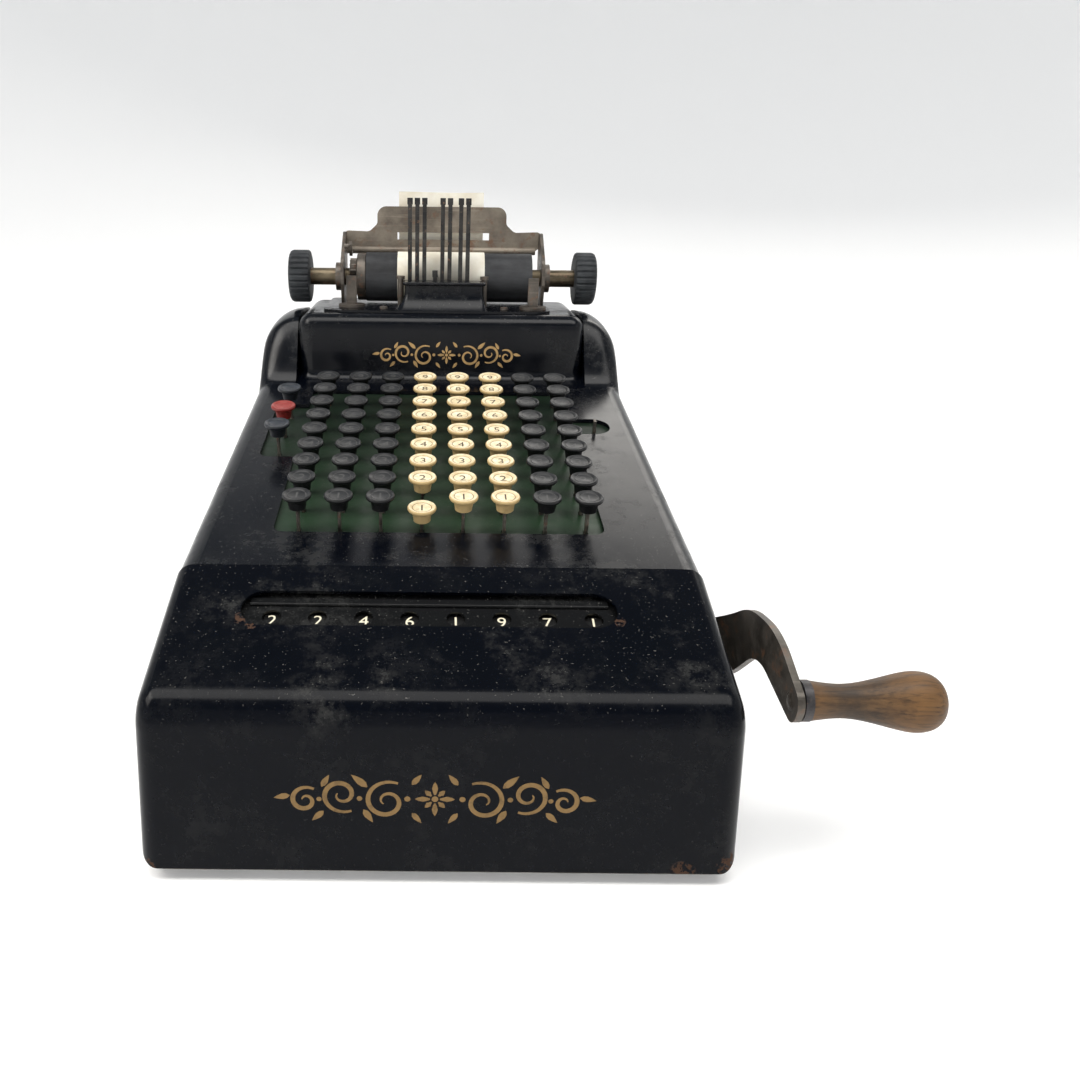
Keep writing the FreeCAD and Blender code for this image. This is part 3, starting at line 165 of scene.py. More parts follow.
class Paint:
    """A procedural material: a Principled shader with a few short ways to feed it."""

    def __init__(self, name, roughness=0.5, metallic=0.0, specular=0.5):
        self.material = bpy.data.materials.new(name)
        self.material.use_nodes = True
        self.tree = self.material.node_tree
        self.shader = self.tree.nodes["Principled BSDF"]
        self.shader.inputs["Roughness"].default_value = roughness
        self.shader.inputs["Metallic"].default_value = metallic
        self.shader.inputs["Specular IOR Level"].default_value = specular
        self.coordinates = self.node("ShaderNodeTexCoord").outputs["Object"]

    def node(self, kind, **settings):
        item = self.tree.nodes.new(kind)
        for key, amount in settings.items():
            setattr(item, key, amount)
        return item

    def link(self, source, target):
        self.tree.links.new(source, target)

    def stretched(self, scale):
        """The object's coordinates with each axis scaled."""
        mapping = self.node("ShaderNodeMapping")
        mapping.inputs["Scale"].default_value = scale
        self.link(self.coordinates, mapping.inputs["Vector"])
        return mapping.outputs["Vector"]

    def noise(self, scale, detail=4.0, roughness=0.55, stretch=None, distortion=0.0):
        item = self.node("ShaderNodeTexNoise")
        item.inputs["Scale"].default_value = scale
        item.inputs["Detail"].default_value = detail
        item.inputs["Roughness"].default_value = roughness
        item.inputs["Distortion"].default_value = distortion
        self.link(self.stretched(stretch) if stretch else self.coordinates, item.inputs["Vector"])
        return item.outputs["Fac"]

    def ramp(self, factor, *stops):
        """A colour ramp; each stop is (place, grey or colour)."""
        item = self.node("ShaderNodeValToRGB")
        elements = item.color_ramp.elements
        while len(elements) < len(stops):
            elements.new(0.5)
        for element, (place, colour) in zip(elements, stops):
            element.position = place
            element.color = (*((colour,) * 3 if isinstance(colour, float) else colour), 1)
        self.link(factor, item.inputs["Fac"])
        return item.outputs["Color"]

    def mix(self, factor, first, second):
        """Goes from the first colour to the second as the factor rises."""
        item = self.node("ShaderNodeMix", data_type="RGBA")
        feeds = {"Factor": factor, "A": first, "B": second}
        for name, feed in feeds.items():
            socket = item.inputs[name]
            if hasattr(feed, "links"):
                self.link(feed, socket)
            elif isinstance(feed, float):
                socket.default_value = feed
            else:
                socket.default_value = (*feed, 1)
        return item.outputs["Result"]

    def math(self, operation, first, second=0.0):
        item = self.node("ShaderNodeMath", operation=operation, use_clamp=True)
        for socket, feed in zip(item.inputs, (first, second)):
            if hasattr(feed, "links"):
                self.link(feed, socket)
            else:
                socket.default_value = feed
        return item.outputs["Value"]

    def axis(self, letter):
        split = self.node("ShaderNodeSeparateXYZ")
        self.link(self.coordinates, split.inputs["Vector"])
        return split.outputs[letter]

    def near(self, place, reach):
        """1 at a place in the object's coordinates, falling to 0 at reach."""
        shift = self.node("ShaderNodeVectorMath", operation="DISTANCE")
        self.link(self.coordinates, shift.inputs[0])
        shift.inputs[1].default_value = place
        scaled = self.node("ShaderNodeMapRange")
        self.link(shift.outputs["Value"], scaled.inputs["Value"])
        for name, amount in zip(("From Min", "From Max", "To Min", "To Max"), (0.0, reach, 1.0, 0.0)):
            scaled.inputs[name].default_value = amount
        return scaled.outputs["Result"]

    def facing_up(self, low=0.5, high=0.9):
        """1 on faces that look up."""
        geometry = self.node("ShaderNodeNewGeometry")
        split = self.node("ShaderNodeSeparateXYZ")
        self.link(geometry.outputs["Normal"], split.inputs["Vector"])
        scaled = self.node("ShaderNodeMapRange")
        self.link(split.outputs["Z"], scaled.inputs["Value"])
        scaled.inputs["From Min"].default_value = low
        scaled.inputs["From Max"].default_value = high
        return scaled.outputs["Result"]

    def colour(self, feed):
        self.feed("Base Color", feed)

    def feed(self, name, source):
        if hasattr(source, "links"):
            self.link(source, self.shader.inputs[name])
        else:
            self.shader.inputs[name].default_value = (*source, 1) if isinstance(source, tuple) else source

    def bump(self, height, strength=0.3, distance=0.0002):
        item = self.node("ShaderNodeBump")
        item.inputs["Strength"].default_value = strength
        item.inputs["Distance"].default_value = distance
        self.link(height, item.inputs["Height"])
        self.link(item.outputs["Normal"], self.shader.inputs["Normal"])


# ---------------------------------------------------------------- materials

def enamel(name, black=(0.0009, 0.0015, 0.0033), haze=0.5, specular=0.2, gloss=0.16,
           hazy_spots=(), rust_spots=()):
    """Old glossy black enamel: fine dust specks, grey bloom, a soft sheen and rust where it is chipped."""
    paint = Paint(name, specular=specular)
    bloom = paint.ramp(paint.noise(26, 7, 0.68), (0.47, 0.0), (0.62, 1.0))
    mottle = paint.ramp(paint.noise(170, 6, 0.75), (0.42, 0.0), (0.60, 1.0))
    patches = paint.math("MULTIPLY", bloom, mottle)
    if hazy_spots:
        area = 0.12
        for place, reach in hazy_spots:
            area = paint.math("MAXIMUM", paint.near(place, reach), area)
        patches = paint.math("MULTIPLY", patches, paint.math("MULTIPLY", area, 1.6))
    specks = paint.ramp(paint.noise(900, 2, 0.5), (0.68, 0.0), (0.74, 1.0))
    base = paint.mix(paint.math("MULTIPLY", patches, haze), black, (0.036, 0.036, 0.034))
    up = paint.math("ADD", paint.math("MULTIPLY", paint.facing_up(0.2, 0.9), 0.5), 0.12)
    base = paint.mix(paint.math("MULTIPLY", specks, up), base, (0.12, 0.115, 0.105))
    sheen = paint.ramp(paint.noise(34, 5, 0.6), (0.3, gloss), (0.75, gloss + 0.1))
    rough = paint.mix(patches, sheen, (0.42, 0.42, 0.42))
    if rust_spots:
        rust = 0.0
        for place, reach in rust_spots:
            rust = paint.math("MAXIMUM", paint.near(place, reach), rust)
        broken = paint.ramp(paint.noise(420, 6, 0.7), (0.42, 0.0), (0.6, 1.0))
        spread = paint.math("MULTIPLY", rust, paint.math("ADD", broken, 0.3))
        chipped = paint.ramp(spread, (0.46, 0.0), (0.58, 1.0))
        rusty = paint.mix(paint.noise(300, 5, 0.7), (0.022, 0.012, 0.008), (0.085, 0.045, 0.028))
        base = paint.mix(chipped, base, rusty)
        rough = paint.mix(chipped, rough, (0.85, 0.85, 0.85))
    paint.colour(base)
    paint.feed("Roughness", rough)
    paint.bump(paint.noise(240, 4, 0.55), 0.10, 0.00006)
    return paint.material


def metal(name, dark, light, roughness=0.4, rust=0.0, scale=60, metallic=0.9):
    """Tarnished metal with stains, fine scratches and a little rust."""
    paint = Paint(name, metallic=metallic)
    stain = paint.ramp(paint.noise(scale, 6, 0.65), (0.35, 0.0), (0.68, 1.0))
    base = paint.mix(stain, dark, light)
    scratches = paint.ramp(paint.noise(500, 3, 0.6, stretch=(0.05, 1, 1)), (0.55, 0.0), (0.75, 1.0))
    bright = tuple(min(1.0, part * 1.8) for part in light)
    base = paint.mix(paint.math("MULTIPLY", scratches, 0.3), base, bright)
    if rust:
        spots = paint.ramp(paint.noise(scale * 3, 6, 0.7), (0.62 - 0.2 * rust, 0.0), (0.7 - 0.1 * rust, 1.0))
        base = paint.mix(spots, base, (0.13, 0.065, 0.035))
        paint.feed("Metallic", paint.math("SUBTRACT", metallic, paint.math("MULTIPLY", spots, metallic)))
    paint.colour(base)
    wear = paint.noise(scale * 2, 5, 0.6)
    paint.feed("Roughness", paint.ramp(wear, (0.3, roughness - 0.1), (0.7, roughness + 0.2)))
    paint.bump(paint.noise(800, 4, 0.6), 0.25, 0.0001)
    return paint.material


def moulded(name, side, top, dirt, roughness=0.3, lit_top_share=0.6):
    """A moulded key cap: sides with a little grime, and a top painted lighter than its shaded sides as
    painted top light, broken up by a cloudy noise.
    """
    paint = Paint(name, specular=0.35)
    # painted light: upward faces take the lighter top colour, the rest keeps the darker side colour as
    # painted shade
    up = paint.math("MULTIPLY", paint.facing_up(0.55, 0.95), lit_top_share)
    cloud = paint.ramp(paint.noise(260, 5, 0.65), (0.35, 0.25), (0.7, 1.0))
    base = paint.mix(paint.math("MULTIPLY", up, cloud), side, top)
    grime = paint.ramp(paint.noise(420, 5, 0.7), (0.56, 0.0), (0.7, 1.0))
    base = paint.mix(paint.math("MULTIPLY", grime, 0.45), base, dirt)
    paint.colour(base)
    paint.feed("Roughness", paint.ramp(paint.noise(300, 4, 0.6), (0.3, roughness), (0.7, roughness + 0.25)))
    paint.bump(paint.noise(900, 3, 0.6), 0.15, 0.00008)
    return paint.material


def green_enamel():
    """The green keyboard plate, brighter in front and darker towards the rear."""
    paint = Paint("green_enamel", specular=0.25)
    # darker towards the rear, with some noisy unevenness
    scaled = paint.node("ShaderNodeMapRange")
    paint.link(paint.axis("Y"), scaled.inputs["Value"])
    scaled.inputs["From Min"].default_value = -0.1
    scaled.inputs["From Max"].default_value = 0.07
    darker_to_rear = paint.math("ADD", scaled.outputs["Result"], paint.math("MULTIPLY", paint.noise(45, 6, 0.7), 0.3))
    base = paint.mix(paint.math("MULTIPLY", darker_to_rear, 0.85), (0.012, 0.034, 0.014), (0.004, 0.008, 0.0048))
    lint = paint.ramp(paint.noise(700, 3, 0.6), (0.64, 0.0), (0.72, 1.0))
    paint.colour(paint.mix(paint.math("MULTIPLY", lint, 0.4), base, (0.09, 0.09, 0.07)))
    paint.feed("Roughness", paint.ramp(paint.noise(60, 5, 0.6), (0.3, 0.3), (0.7, 0.6)))
    paint.bump(paint.noise(900, 3, 0.6), 0.2, 0.0001)
    return paint.material


def rubber(name, dark, light, streaks=False):
    """Dull black rubber or moulded knob, stained, with streaks along X if asked for."""
    paint = Paint(name, specular=0.3)
    stretch = (0.25, 1, 1) if streaks else None
    stain = paint.ramp(paint.noise(70, 6, 0.65, stretch=stretch), (0.35, 0.0), (0.7, 1.0))
    paint.colour(paint.mix(stain, dark, light))
    paint.feed("Roughness", paint.ramp(paint.noise(160, 5, 0.6), (0.3, 0.55), (0.7, 0.8)))
    paint.bump(paint.noise(900, 4, 0.6), 0.3, 0.0001)
    return paint.material


def handle_wood():
    """Worn turned wood: long grain, an orange glow on the swelling and dark handled ends."""
    paint = Paint("handle_wood", specular=0.3)
    grain = paint.noise(230, 8, 0.72, stretch=(0.10, 1, 1), distortion=0.5)
    fine = paint.noise(900, 5, 0.65, stretch=(0.05, 1, 1))
    stain = paint.ramp(paint.noise(55, 6, 0.7), (0.42, 0.0), (0.62, 1.0))
    low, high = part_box("handle_grip")
    along = paint.node("ShaderNodeMapRange")
    paint.link(paint.axis("X"), along.inputs["Value"])
    along.inputs["From Min"].default_value = low.x
    along.inputs["From Max"].default_value = high.x
    warmth = paint.ramp(along.outputs["Result"],
                        (0.05, 0.55), (0.2, 0.1), (0.45, 0.15), (0.72, 1.0), (1.0, 0.6))
    dark = paint.ramp(along.outputs["Result"], (0.05, 0.1), (0.25, 0.75), (0.5, 0.8), (0.75, 0.1))
    lines = paint.ramp(grain, (0.36, 0.0), (0.62, 1.0))
    base = paint.mix(lines, (0.020, 0.012, 0.007), (0.105, 0.060, 0.027))
    base = paint.mix(paint.math("MULTIPLY", warmth, 0.6), base, (0.175, 0.082, 0.022))
    base = paint.mix(paint.math("MULTIPLY", dark, stain), base, (0.026, 0.019, 0.014))
    base = paint.mix(paint.ramp(fine, (0.48, 0.0), (0.70, 0.75)), base, (0.016, 0.010, 0.006))
    paint.colour(base)
    paint.feed("Roughness", paint.ramp(grain, (0.3, 0.38), (0.7, 0.6)))
    paint.bump(fine, 0.5, 0.0002)
    return paint.material


def paper_sheet():
    """Yellowed paper."""
    paint = Paint("paper_sheet", specular=0.2)
    stain = paint.ramp(paint.noise(55, 5, 0.6), (0.4, 0.0), (0.75, 1.0))
    paint.colour(paint.mix(stain, (0.80, 0.77, 0.68), (0.62, 0.55, 0.42)))
    paint.feed("Roughness", paint.ramp(paint.noise(600, 3, 0.5), (0.3, 0.75), (0.7, 0.95)))
    paint.bump(paint.noise(1200, 4, 0.6), 0.2, 0.00005)
    return paint.material


def gold_leaf(name, bright, worn):
    """Gold leaf that is rubbed away in patches."""
    paint = Paint(name, metallic=0.55)
    rub = paint.ramp(paint.noise(240, 6, 0.7), (0.5, 0.0), (0.72, 1.0))
    paint.colour(paint.mix(rub, bright, worn))
    paint.feed("Roughness", paint.ramp(paint.noise(300, 4, 0.6), (0.3, 0.4), (0.7, 0.65)))
    return paint.material


def ink(name, colour):
    """The paint of a digit, a little uneven."""
    paint = Paint(name)
    patches = paint.ramp(paint.noise(500, 4, 0.6), (0.4, 0.0), (0.8, 0.7))
    paint.colour(paint.mix(patches, colour, tuple(part * 0.6 for part in colour)))
    paint.feed("Roughness", paint.ramp(paint.noise(300, 3, 0.5), (0.3, 0.5), (0.7, 0.7)))
    return paint.material


cover_low, cover_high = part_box("front_cover")
MATERIALS = {
    "black_enamel": enamel("black_enamel", haze=0.3, specular=0.2),
    "cover_enamel": enamel("cover_enamel", haze=0.75, specular=0.1, gloss=0.12, hazy_spots=(
        ((CENTRE + 0.080, -0.150, SLOT_Z), 0.045), ((CENTRE + 0.030, -0.172, 0.088), 0.040),
        ((CENTRE - 0.070, -0.140, SLOT_Z), 0.040), ((CENTRE - 0.040, -0.186, 0.082), 0.030),
        ((CENTRE + 0.105, -0.165, 0.09), 0.035)), rust_spots=(
        ((CENTRE - 0.0815, -0.153, SLOT_Z), 0.007), ((CENTRE + 0.0725, -0.153, SLOT_Z), 0.0065),
        ((CENTRE - 0.077, -0.157, SLOT_Z - 0.001), 0.005),
        ((cover_high.x - 0.002, -0.197, 0.008), 0.015), ((cover_high.x - 0.022, -0.198, 0.007), 0.010),
        ((cover_low.x + 0.003, -0.196, 0.006), 0.008))),
    "dial_enamel": enamel("dial_enamel", black=(0.004, 0.0042, 0.0045), haze=0.5, specular=0.15),
    "green_enamel": green_enamel(),
    "base_steel": metal("base_steel", (0.16, 0.155, 0.15), (0.34, 0.33, 0.31), 0.45, 0.2),
    "arm_steel": metal("arm_steel", (0.055, 0.048, 0.04), (0.17, 0.152, 0.13), 0.4, 0.3, 45, 0.6),
    "ferrule_iron": metal("ferrule_iron", (0.025, 0.024, 0.026), (0.09, 0.085, 0.085), 0.4, 0.2, 90, 0.7),
    "handle_wood": handle_wood(),
    "bronze": metal("bronze", (0.07, 0.055, 0.035), (0.19, 0.155, 0.105), 0.4, 0.4, 80),
    "bracket_steel": metal("bracket_steel", (0.04, 0.035, 0.03), (0.15, 0.13, 0.11), 0.42, 0.35, 70, 0.6),
    "type_steel": metal("type_steel", (0.012, 0.012, 0.013), (0.05, 0.048, 0.045), 0.4, 0.15, 90, 0.6),
    "table_steel": metal("table_steel", (0.10, 0.082, 0.064), (0.26, 0.225, 0.18), 0.5, 0.35, 42, 0.35),
    "stem_steel": metal("stem_steel", (0.06, 0.056, 0.05), (0.22, 0.2, 0.17), 0.4, 0.4, 120, 0.8),
    "foot_rubber": rubber("foot_rubber", (0.012, 0.012, 0.012), (0.03, 0.03, 0.03)),
    "platen_rubber": rubber("platen_rubber", (0.014, 0.0145, 0.016), (0.05, 0.052, 0.056), True),
    "knob_black": rubber("knob_black", (0.010, 0.0115, 0.014), (0.034, 0.038, 0.042)),
    "wheel_black": enamel("wheel_black", black=(0.008, 0.008, 0.008), haze=0.4),
    "paper": paper_sheet(),
    # key caps: side, top and grime colours; the lighter top and darker sides are painted top light and side
    # shade, and the browner ivory sides are also the real yellowing of their necks
    "key_black": moulded("key_black", (0.0045, 0.0048, 0.0056), (0.016, 0.0175, 0.020),
                         (0.030, 0.029, 0.027)),
    "key_ivory": moulded("key_ivory", (0.50, 0.36, 0.17), (0.80, 0.73, 0.54), (0.22, 0.14, 0.06), 0.3, 1.0),
    "key_grey": moulded("key_grey", (0.008, 0.010, 0.014), (0.032, 0.040, 0.054), (0.04, 0.04, 0.04)),
    "key_red": moulded("key_red", (0.17, 0.014, 0.012), (0.33, 0.055, 0.042), (0.10, 0.03, 0.02)),
    "digit_dark": ink("digit_dark", (0.05, 0.033, 0.017)),
    "digit_faint": ink("digit_faint", (0.055, 0.055, 0.054)),
    "digit_cream": ink("digit_cream", (0.78, 0.72, 0.55)),
    # the front ornament's gold is the hood's gold leaf darkened about threefold: painted shade of the low
    # front face
    "gold_front_shaded": gold_leaf("gold_front_shaded", (0.20, 0.122, 0.045), (0.075, 0.044, 0.018)),
    "gold_hood": gold_leaf("gold_hood", (0.52, 0.34, 0.145), (0.24, 0.15, 0.065)),
}

NODE_MATERIALS = {
    "main_case": "black_enamel", "print_hood": "black_enamel", "hood_top_plate": "black_enamel",
    "type_guide": "black_enamel", "front_cover": "cover_enamel", "dial_cover": "dial_enamel",
    "keyboard_plate": "green_enamel", "base_plate": "base_steel", "side_frame_left": "base_steel",
    "side_frame_right": "base_steel", "tie_rods": "base_steel", "wheel_shaft": "base_steel",
    "crank_shaft": "base_steel", "rubber_feet": "foot_rubber",
    "crank_arm": "arm_steel", "handle_ferrule": "ferrule_iron", "handle_grip": "handle_wood",
    "crank_bushing": "bronze", "platen_shaft": "bronze", "ribbon_posts": "bracket_steel",
    "carriage_side_left": "bracket_steel", "carriage_side_right": "bracket_steel",
    "carriage_posts": "bracket_steel", "ratchet_pawl": "bracket_steel", "platen_roller": "platen_rubber",
    "paper_table": "table_steel", "bare_key_stem": "stem_steel",
}
NODE_MATERIALS.update({f"type_bar_{number}": "type_steel" for number in range(1, 9)})
# widths of the softened edges, in millimetres
BEVELS = {"main_case": 0.6, "front_cover": 0.5, "print_hood": 0.5, "hood_top_plate": 0.4, "crank_arm": 0.7,
          "handle_ferrule": 0.5, "paper_table": 0.3, "carriage_side_left": 0.3, "carriage_side_right": 0.3,
          "carriage_posts": 0.3, "platen_roller": 0.6,
          "dial_cover": 0.3, "type_guide": 0.5, "base_plate": 0.4, "rubber_feet": 0.8, "keyboard_plate": 0.2}


def smooth_by_angle(item, degrees=35):
    """Shades an object smooth, apart from its edges that are sharper than an angle."""
    for polygon in item.data.polygons:
        polygon.use_smooth = True
    limit = math.radians(degrees)
    shape = bmesh.new()
    shape.from_mesh(item.data)
    for edge in shape.edges:
        edge.smooth = not (edge.is_boundary or len(edge.link_faces) != 2 or edge.calc_face_angle(0.0) > limit)
    shape.to_mesh(item.data)
    shape.free()


def dress_nodes():
    """Gives the CAD nodes that stay their finish, and breaks their sharp edges."""
    for name, paint in NODE_MATERIALS.items():
        item = nodes[name]
        item.data.materials.clear()
        item.data.materials.append(MATERIALS[paint])
        if name in BEVELS:
            bevel = item.modifiers.new("worn_edges", "BEVEL")
            bevel.width = BEVELS[name] * MM
            bevel.segments = 2
            bevel.limit_method = "ANGLE"
            bevel.angle_limit = math.radians(40)
            bevel.harden_normals = True


# ---------------------------------------------------------------- mesh pieces

def new_piece(name, shape, material, body):
    """A visible piece from a bmesh, which it uses up, riding on a body."""
    mesh = bpy.data.meshes.new(name)
    shape.to_mesh(mesh)
    shape.free()
    mesh.materials.append(MATERIALS[material])
    item = bpy.data.objects.new(name, mesh)
    bpy.context.scene.collection.objects.link(item)
    smooth_by_angle(item)
    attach(item, body)
    return item


def in_metres(profile):
    return [(radius * MM, height * MM) for radius, height in profile]


def add_ring(shape, place, radius, height, steps):
    """Points round the local Z axis of a frame."""
    turns = (2 * math.pi * step / steps for step in range(steps))
    return [shape.verts.new(place @ Vector((radius * math.cos(turn), radius * math.sin(turn), height)))
            for turn in turns]


def lathe(shape, profile, place, steps):
    """Turns a profile of (radius, height) about the local Z axis of a frame."""
    rings = []
    for radius, height in profile:
        if radius < 1e-7:
            rings.append([shape.verts.new(place @ Vector((0, 0, height)))])
        else:
            rings.append(add_ring(shape, place, radius, height, steps))
    for lower, upper in zip(rings, rings[1:]):
        for step in range(steps):
            after = (step + 1) % steps
            if len(lower) == 1:
                shape.faces.new((lower[0], upper[step], upper[after]))
            elif len(upper) == 1:
                shape.faces.new((lower[after], lower[step], upper[0]))
            else:
                shape.faces.new((lower[after], lower[step], upper[step], upper[after]))


# a key cap from the middle of its foot to the middle of its dished top, in millimetres
CAP_PROFILE = [(0.0, 0.0), (3.6, 0.0), (3.95, 0.25), (4.1, 1.6), (4.45, 3.6), (4.9, 4.7), (5.7, 5.2),
               (6.4, 5.6), (6.66, 6.1), (6.68, 6.7), (6.5, 7.2), (6.15, 7.46), (5.75, 7.44), (5.3, 7.2),
               (4.75, 7.0), (4.55, 6.82), (4.3, 6.80), (4.1, 6.92), (3.0, 6.72), (1.5, 6.56), (0.0, 6.52)]


def dish_height(distance):
    """Height of a key top's hollow above the cap's foot, at a distance from its middle, in millimetres."""
    return 6.5 + 0.47 * (distance / 4.1) ** 2


def add_cap(shape, place):
    lathe(shape, in_metres(CAP_PROFILE), place, 44)


def glyph_mesh(text):
    """A digit as flat triangles, centred, 1 unit high, small enough to lie on a curved face."""
    curve = bpy.data.curves.new("glyph", "FONT")
    curve.body = text
    curve.align_x = "CENTER"
    curve.resolution_u = 6
    item = bpy.data.objects.new("glyph", curve)
    bpy.context.scene.collection.objects.link(item)
    bpy.context.view_layer.update()
    mesh = bpy.data.meshes.new_from_object(item.evaluated_get(bpy.context.evaluated_depsgraph_get()))
    fine = bmesh.new()
    fine.from_mesh(mesh)
    bmesh.ops.triangulate(fine, faces=fine.faces)
    for _ in range(3):
        long_edges = [edge for edge in fine.edges if edge.calc_length() > 0.12]
        bmesh.ops.subdivide_edges(fine, edges=long_edges, cuts=1)
        bmesh.ops.triangulate(fine, faces=fine.faces)
    fine.verts.index_update()
    points = [vertex.co.copy() for vertex in fine.verts]
    faces = list({frozenset(corners): corners for corners in
                  (tuple(vertex.index for vertex in face.verts) for face in fine.faces)}.values())
    fine.free()
    bpy.data.objects.remove(item)
    bpy.data.curves.remove(curve)
    bpy.data.meshes.remove(mesh)
    low, high = min(point.y for point in points), max(point.y for point in points)
    middle = (min(point.x for point in points) + max(point.x for point in points)) / 2
    scale = 1 / (high - low)
    return [((point.x - middle) * scale, (point.y - low) * scale - 0.5) for point in points], faces


GLYPHS = {str(digit): glyph_mesh(str(digit)) for digit in range(10)}


def add_glyph(shape, text, where):
    """Adds a digit; where() turns its flat coordinates into a place."""
    points, faces = GLYPHS[text]
    corners = [shape.verts.new(where(x, y)) for x, y in points]
    for face in faces:
        shape.faces.new([corners[index] for index in face])


def key_digit(shape, text, place):
    """A digit in a key top's hollow, with the ring that goes round it."""
    def where(x, y):
        across, along = x * KEY_DIGIT_HEIGHT * 0.95, y * KEY_DIGIT_HEIGHT
        lift = dish_height(math.hypot(across, along) / MM) * MM + 0.05 * MM
        return place @ Vector((across, along, lift))

    add_glyph(shape, text, where)
    steps = 40
    inner, outer = (add_ring(shape, place, radius * MM, height * MM, steps)
                    for radius, height in ((4.32, 6.83), (4.54, 6.85)))
    for step in range(steps):
        after = (step + 1) % steps
        shape.faces.new((inner[step], outer[step], outer[after], inner[after]))


def add_block(shape, place, size):
    """A bar from its lowest corner, in a frame, with slightly broken edges."""
    cube = bmesh.ops.create_cube(shape, size=1.0)["verts"]
    middle = Vector(size) / 2
    for vertex in cube:
        vertex.co = place @ Vector([middle[axis] + vertex.co[axis] * size[axis] for axis in range(3)])
    edges = list({edge for vertex in cube for edge in vertex.link_edges})
    bmesh.ops.bevel(shape, geom=edges, offset=0.25 * MM, segments=1, affect="EDGES")


def add_stem(shape, x, along, top):
    """A flat key stem, 1.5 by 3 mm, with its middle at a place on the deck."""
    corner = deck_frame(x - 0.75 * MM, along - 1.5 * MM, STEM_BOTTOM)
    add_block(shape, corner, (1.5 * MM, 3.0 * MM, top - STEM_BOTTOM))


def add_keys(name, body, node, places, cap_paint, digit_paint, top=KEY_TOP):
    """Caps, stems and digits of the keys that share a body; places are (x, along, digit)."""
    caps, stems, digits = bmesh.new(), bmesh.new(), bmesh.new()
    for x, along, digit in places:
        foot = deck_frame(x, along, top - CAP_HEIGHT)
        add_cap(caps, foot)
        add_stem(stems, x, along, top - CAP_HEIGHT + STEM_INSERTION)
        if digit:
            key_digit(digits, str(digit), foot)
    cap_piece = new_piece(name + "_caps", caps, cap_paint, body)
    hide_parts(node)
    new_piece(name + "_stems", stems, "stem_steel", body)
    if digits.faces:
        new_piece(name + "_digits", digits, digit_paint, body)
    else:
        digits.free()


def keyboard():
    """The eight columns, the key that is held down and the three control keys."""
    for column in range(1, 9):
        low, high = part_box(f"key_column_{column}")
        x = (low.x + high.x) / 2
        ivory = column in (4, 5, 6)
        rows = [row for row in range(1, 10) if not (column == 4 and row == 1)]
        places = [(x, FIRST_ROW + (row - 1) * KEY_PITCH, row) for row in rows]
        cap_paint, digit_paint = ("key_ivory", "digit_dark") if ivory else ("key_black", "digit_faint")
        name = f"key_column_{column}"
        add_keys(f"column_{column}", name, name, places, cap_paint, digit_paint)
    low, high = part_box("held_down_key")
    place = ((low.x + high.x) / 2, FIRST_ROW, 1)
    add_keys("held_key", "held_down_key", "held_down_key", [place], "key_ivory", "digit_dark",
             KEY_TOP - KEY_TRAVEL)
    for side, along in CONTROL_ROWS.items():
        low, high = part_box("control_key_" + side)
        paint = "key_red" if side == "red" else "key_grey"
        add_keys("control_" + side, "control_key_" + side, "control_key_" + side,
                 [((low.x + high.x) / 2, along, None)], paint, None)


WHEEL_PROFILE = [(3.05, -4.5), (12.5, -4.5), (13.0, -4.0), (14.4, -4.0), (14.95, -3.6), (14.95, 3.6),
                 (14.4, 4.0), (13.0, 4.0), (12.5, 4.5), (9.0, 4.5), (8.6, 5.0), (8.6, 8.1), (8.2, 8.5),
                 (3.05, 8.5), (3.05, -4.5)]


def wheel_digit(shape, text, axis, centre):
    """A digit on a wheel's rim, with its middle at an angle about the wheel's axis."""
    def where(x, y):
        turn = centre - y * WHEEL_DIGIT_HEIGHT / WHEEL_RADIUS
        radius = WHEEL_RADIUS - 0.01 * MM
        return axis + Vector((x * WHEEL_DIGIT_HEIGHT, math.cos(turn) * radius, math.sin(turn) * radius))

    add_glyph(shape, text, where)


def number_wheels():
    """Black wheels with a digit at each tenth of a turn, set to what the dial shows."""
    window_angle = math.radians(90 + 20.5)       # where the window looks at the wheel, about +X
    for number, digit in enumerate(DIAL_DIGITS, 1):
        name = f"number_wheel_{number}"
        axis = Vector(joints[f"wheel_{number}_spin"]["pos_m"])
        place = Matrix.Translation(axis) @ Matrix.Rotation(math.radians(90), 4, "Y")
        shape = bmesh.new()
        lathe(shape, in_metres(WHEEL_PROFILE), place, 60)
        wheel = new_piece(f"wheel_{number}", shape, "wheel_black", name)
        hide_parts(name)
        marks = bmesh.new()
        for step in range(10):
            centre = window_angle - math.radians(36) * step
            wheel_digit(marks, str((digit + step) % 10), axis, centre)
        new_piece(f"wheel_{number}_digits", marks, "digit_cream", name)


# (radius, end of the knob, height from that end, share of the full groove), in millimetres
KNOB_PROFILE = [(5.6, -1, 0, 0), (9.5, -1, 0, 0), (14.6, -1, 0, 0.2), (16.2, -1, 0.5, 0.7),
                (KNOB_RADIUS, -1, 1.5, 1), (KNOB_RADIUS, 1, -3.2, 1), (16.5, 1, -1.9, 0.9),
                (15.8, 1, -0.9, 0.5), (14.5, 1, -0.25, 0.1), (12.8, 1, 0, 0), (9.4, 1, 0, 0),
                (8.9, 1, -0.5, 0), (8.7, 1, -1.3, 0), (5.6, 1, -1.3, 0), (5.6, -1, 0, 0)]


def grooved_ring(place, radius, height, depth, steps):
    """Points round the local Z axis, drawn in by depth at each groove."""
    points = []
    for step in range(steps):
        turn = 2 * math.pi * step / steps
        wave = max(0.0, math.cos(turn * KNOB_GROOVES)) ** 1.5
        points.append(place @ Vector(((radius - depth * wave) * math.cos(turn),
                                      (radius - depth * wave) * math.sin(turn), height)))
    return points


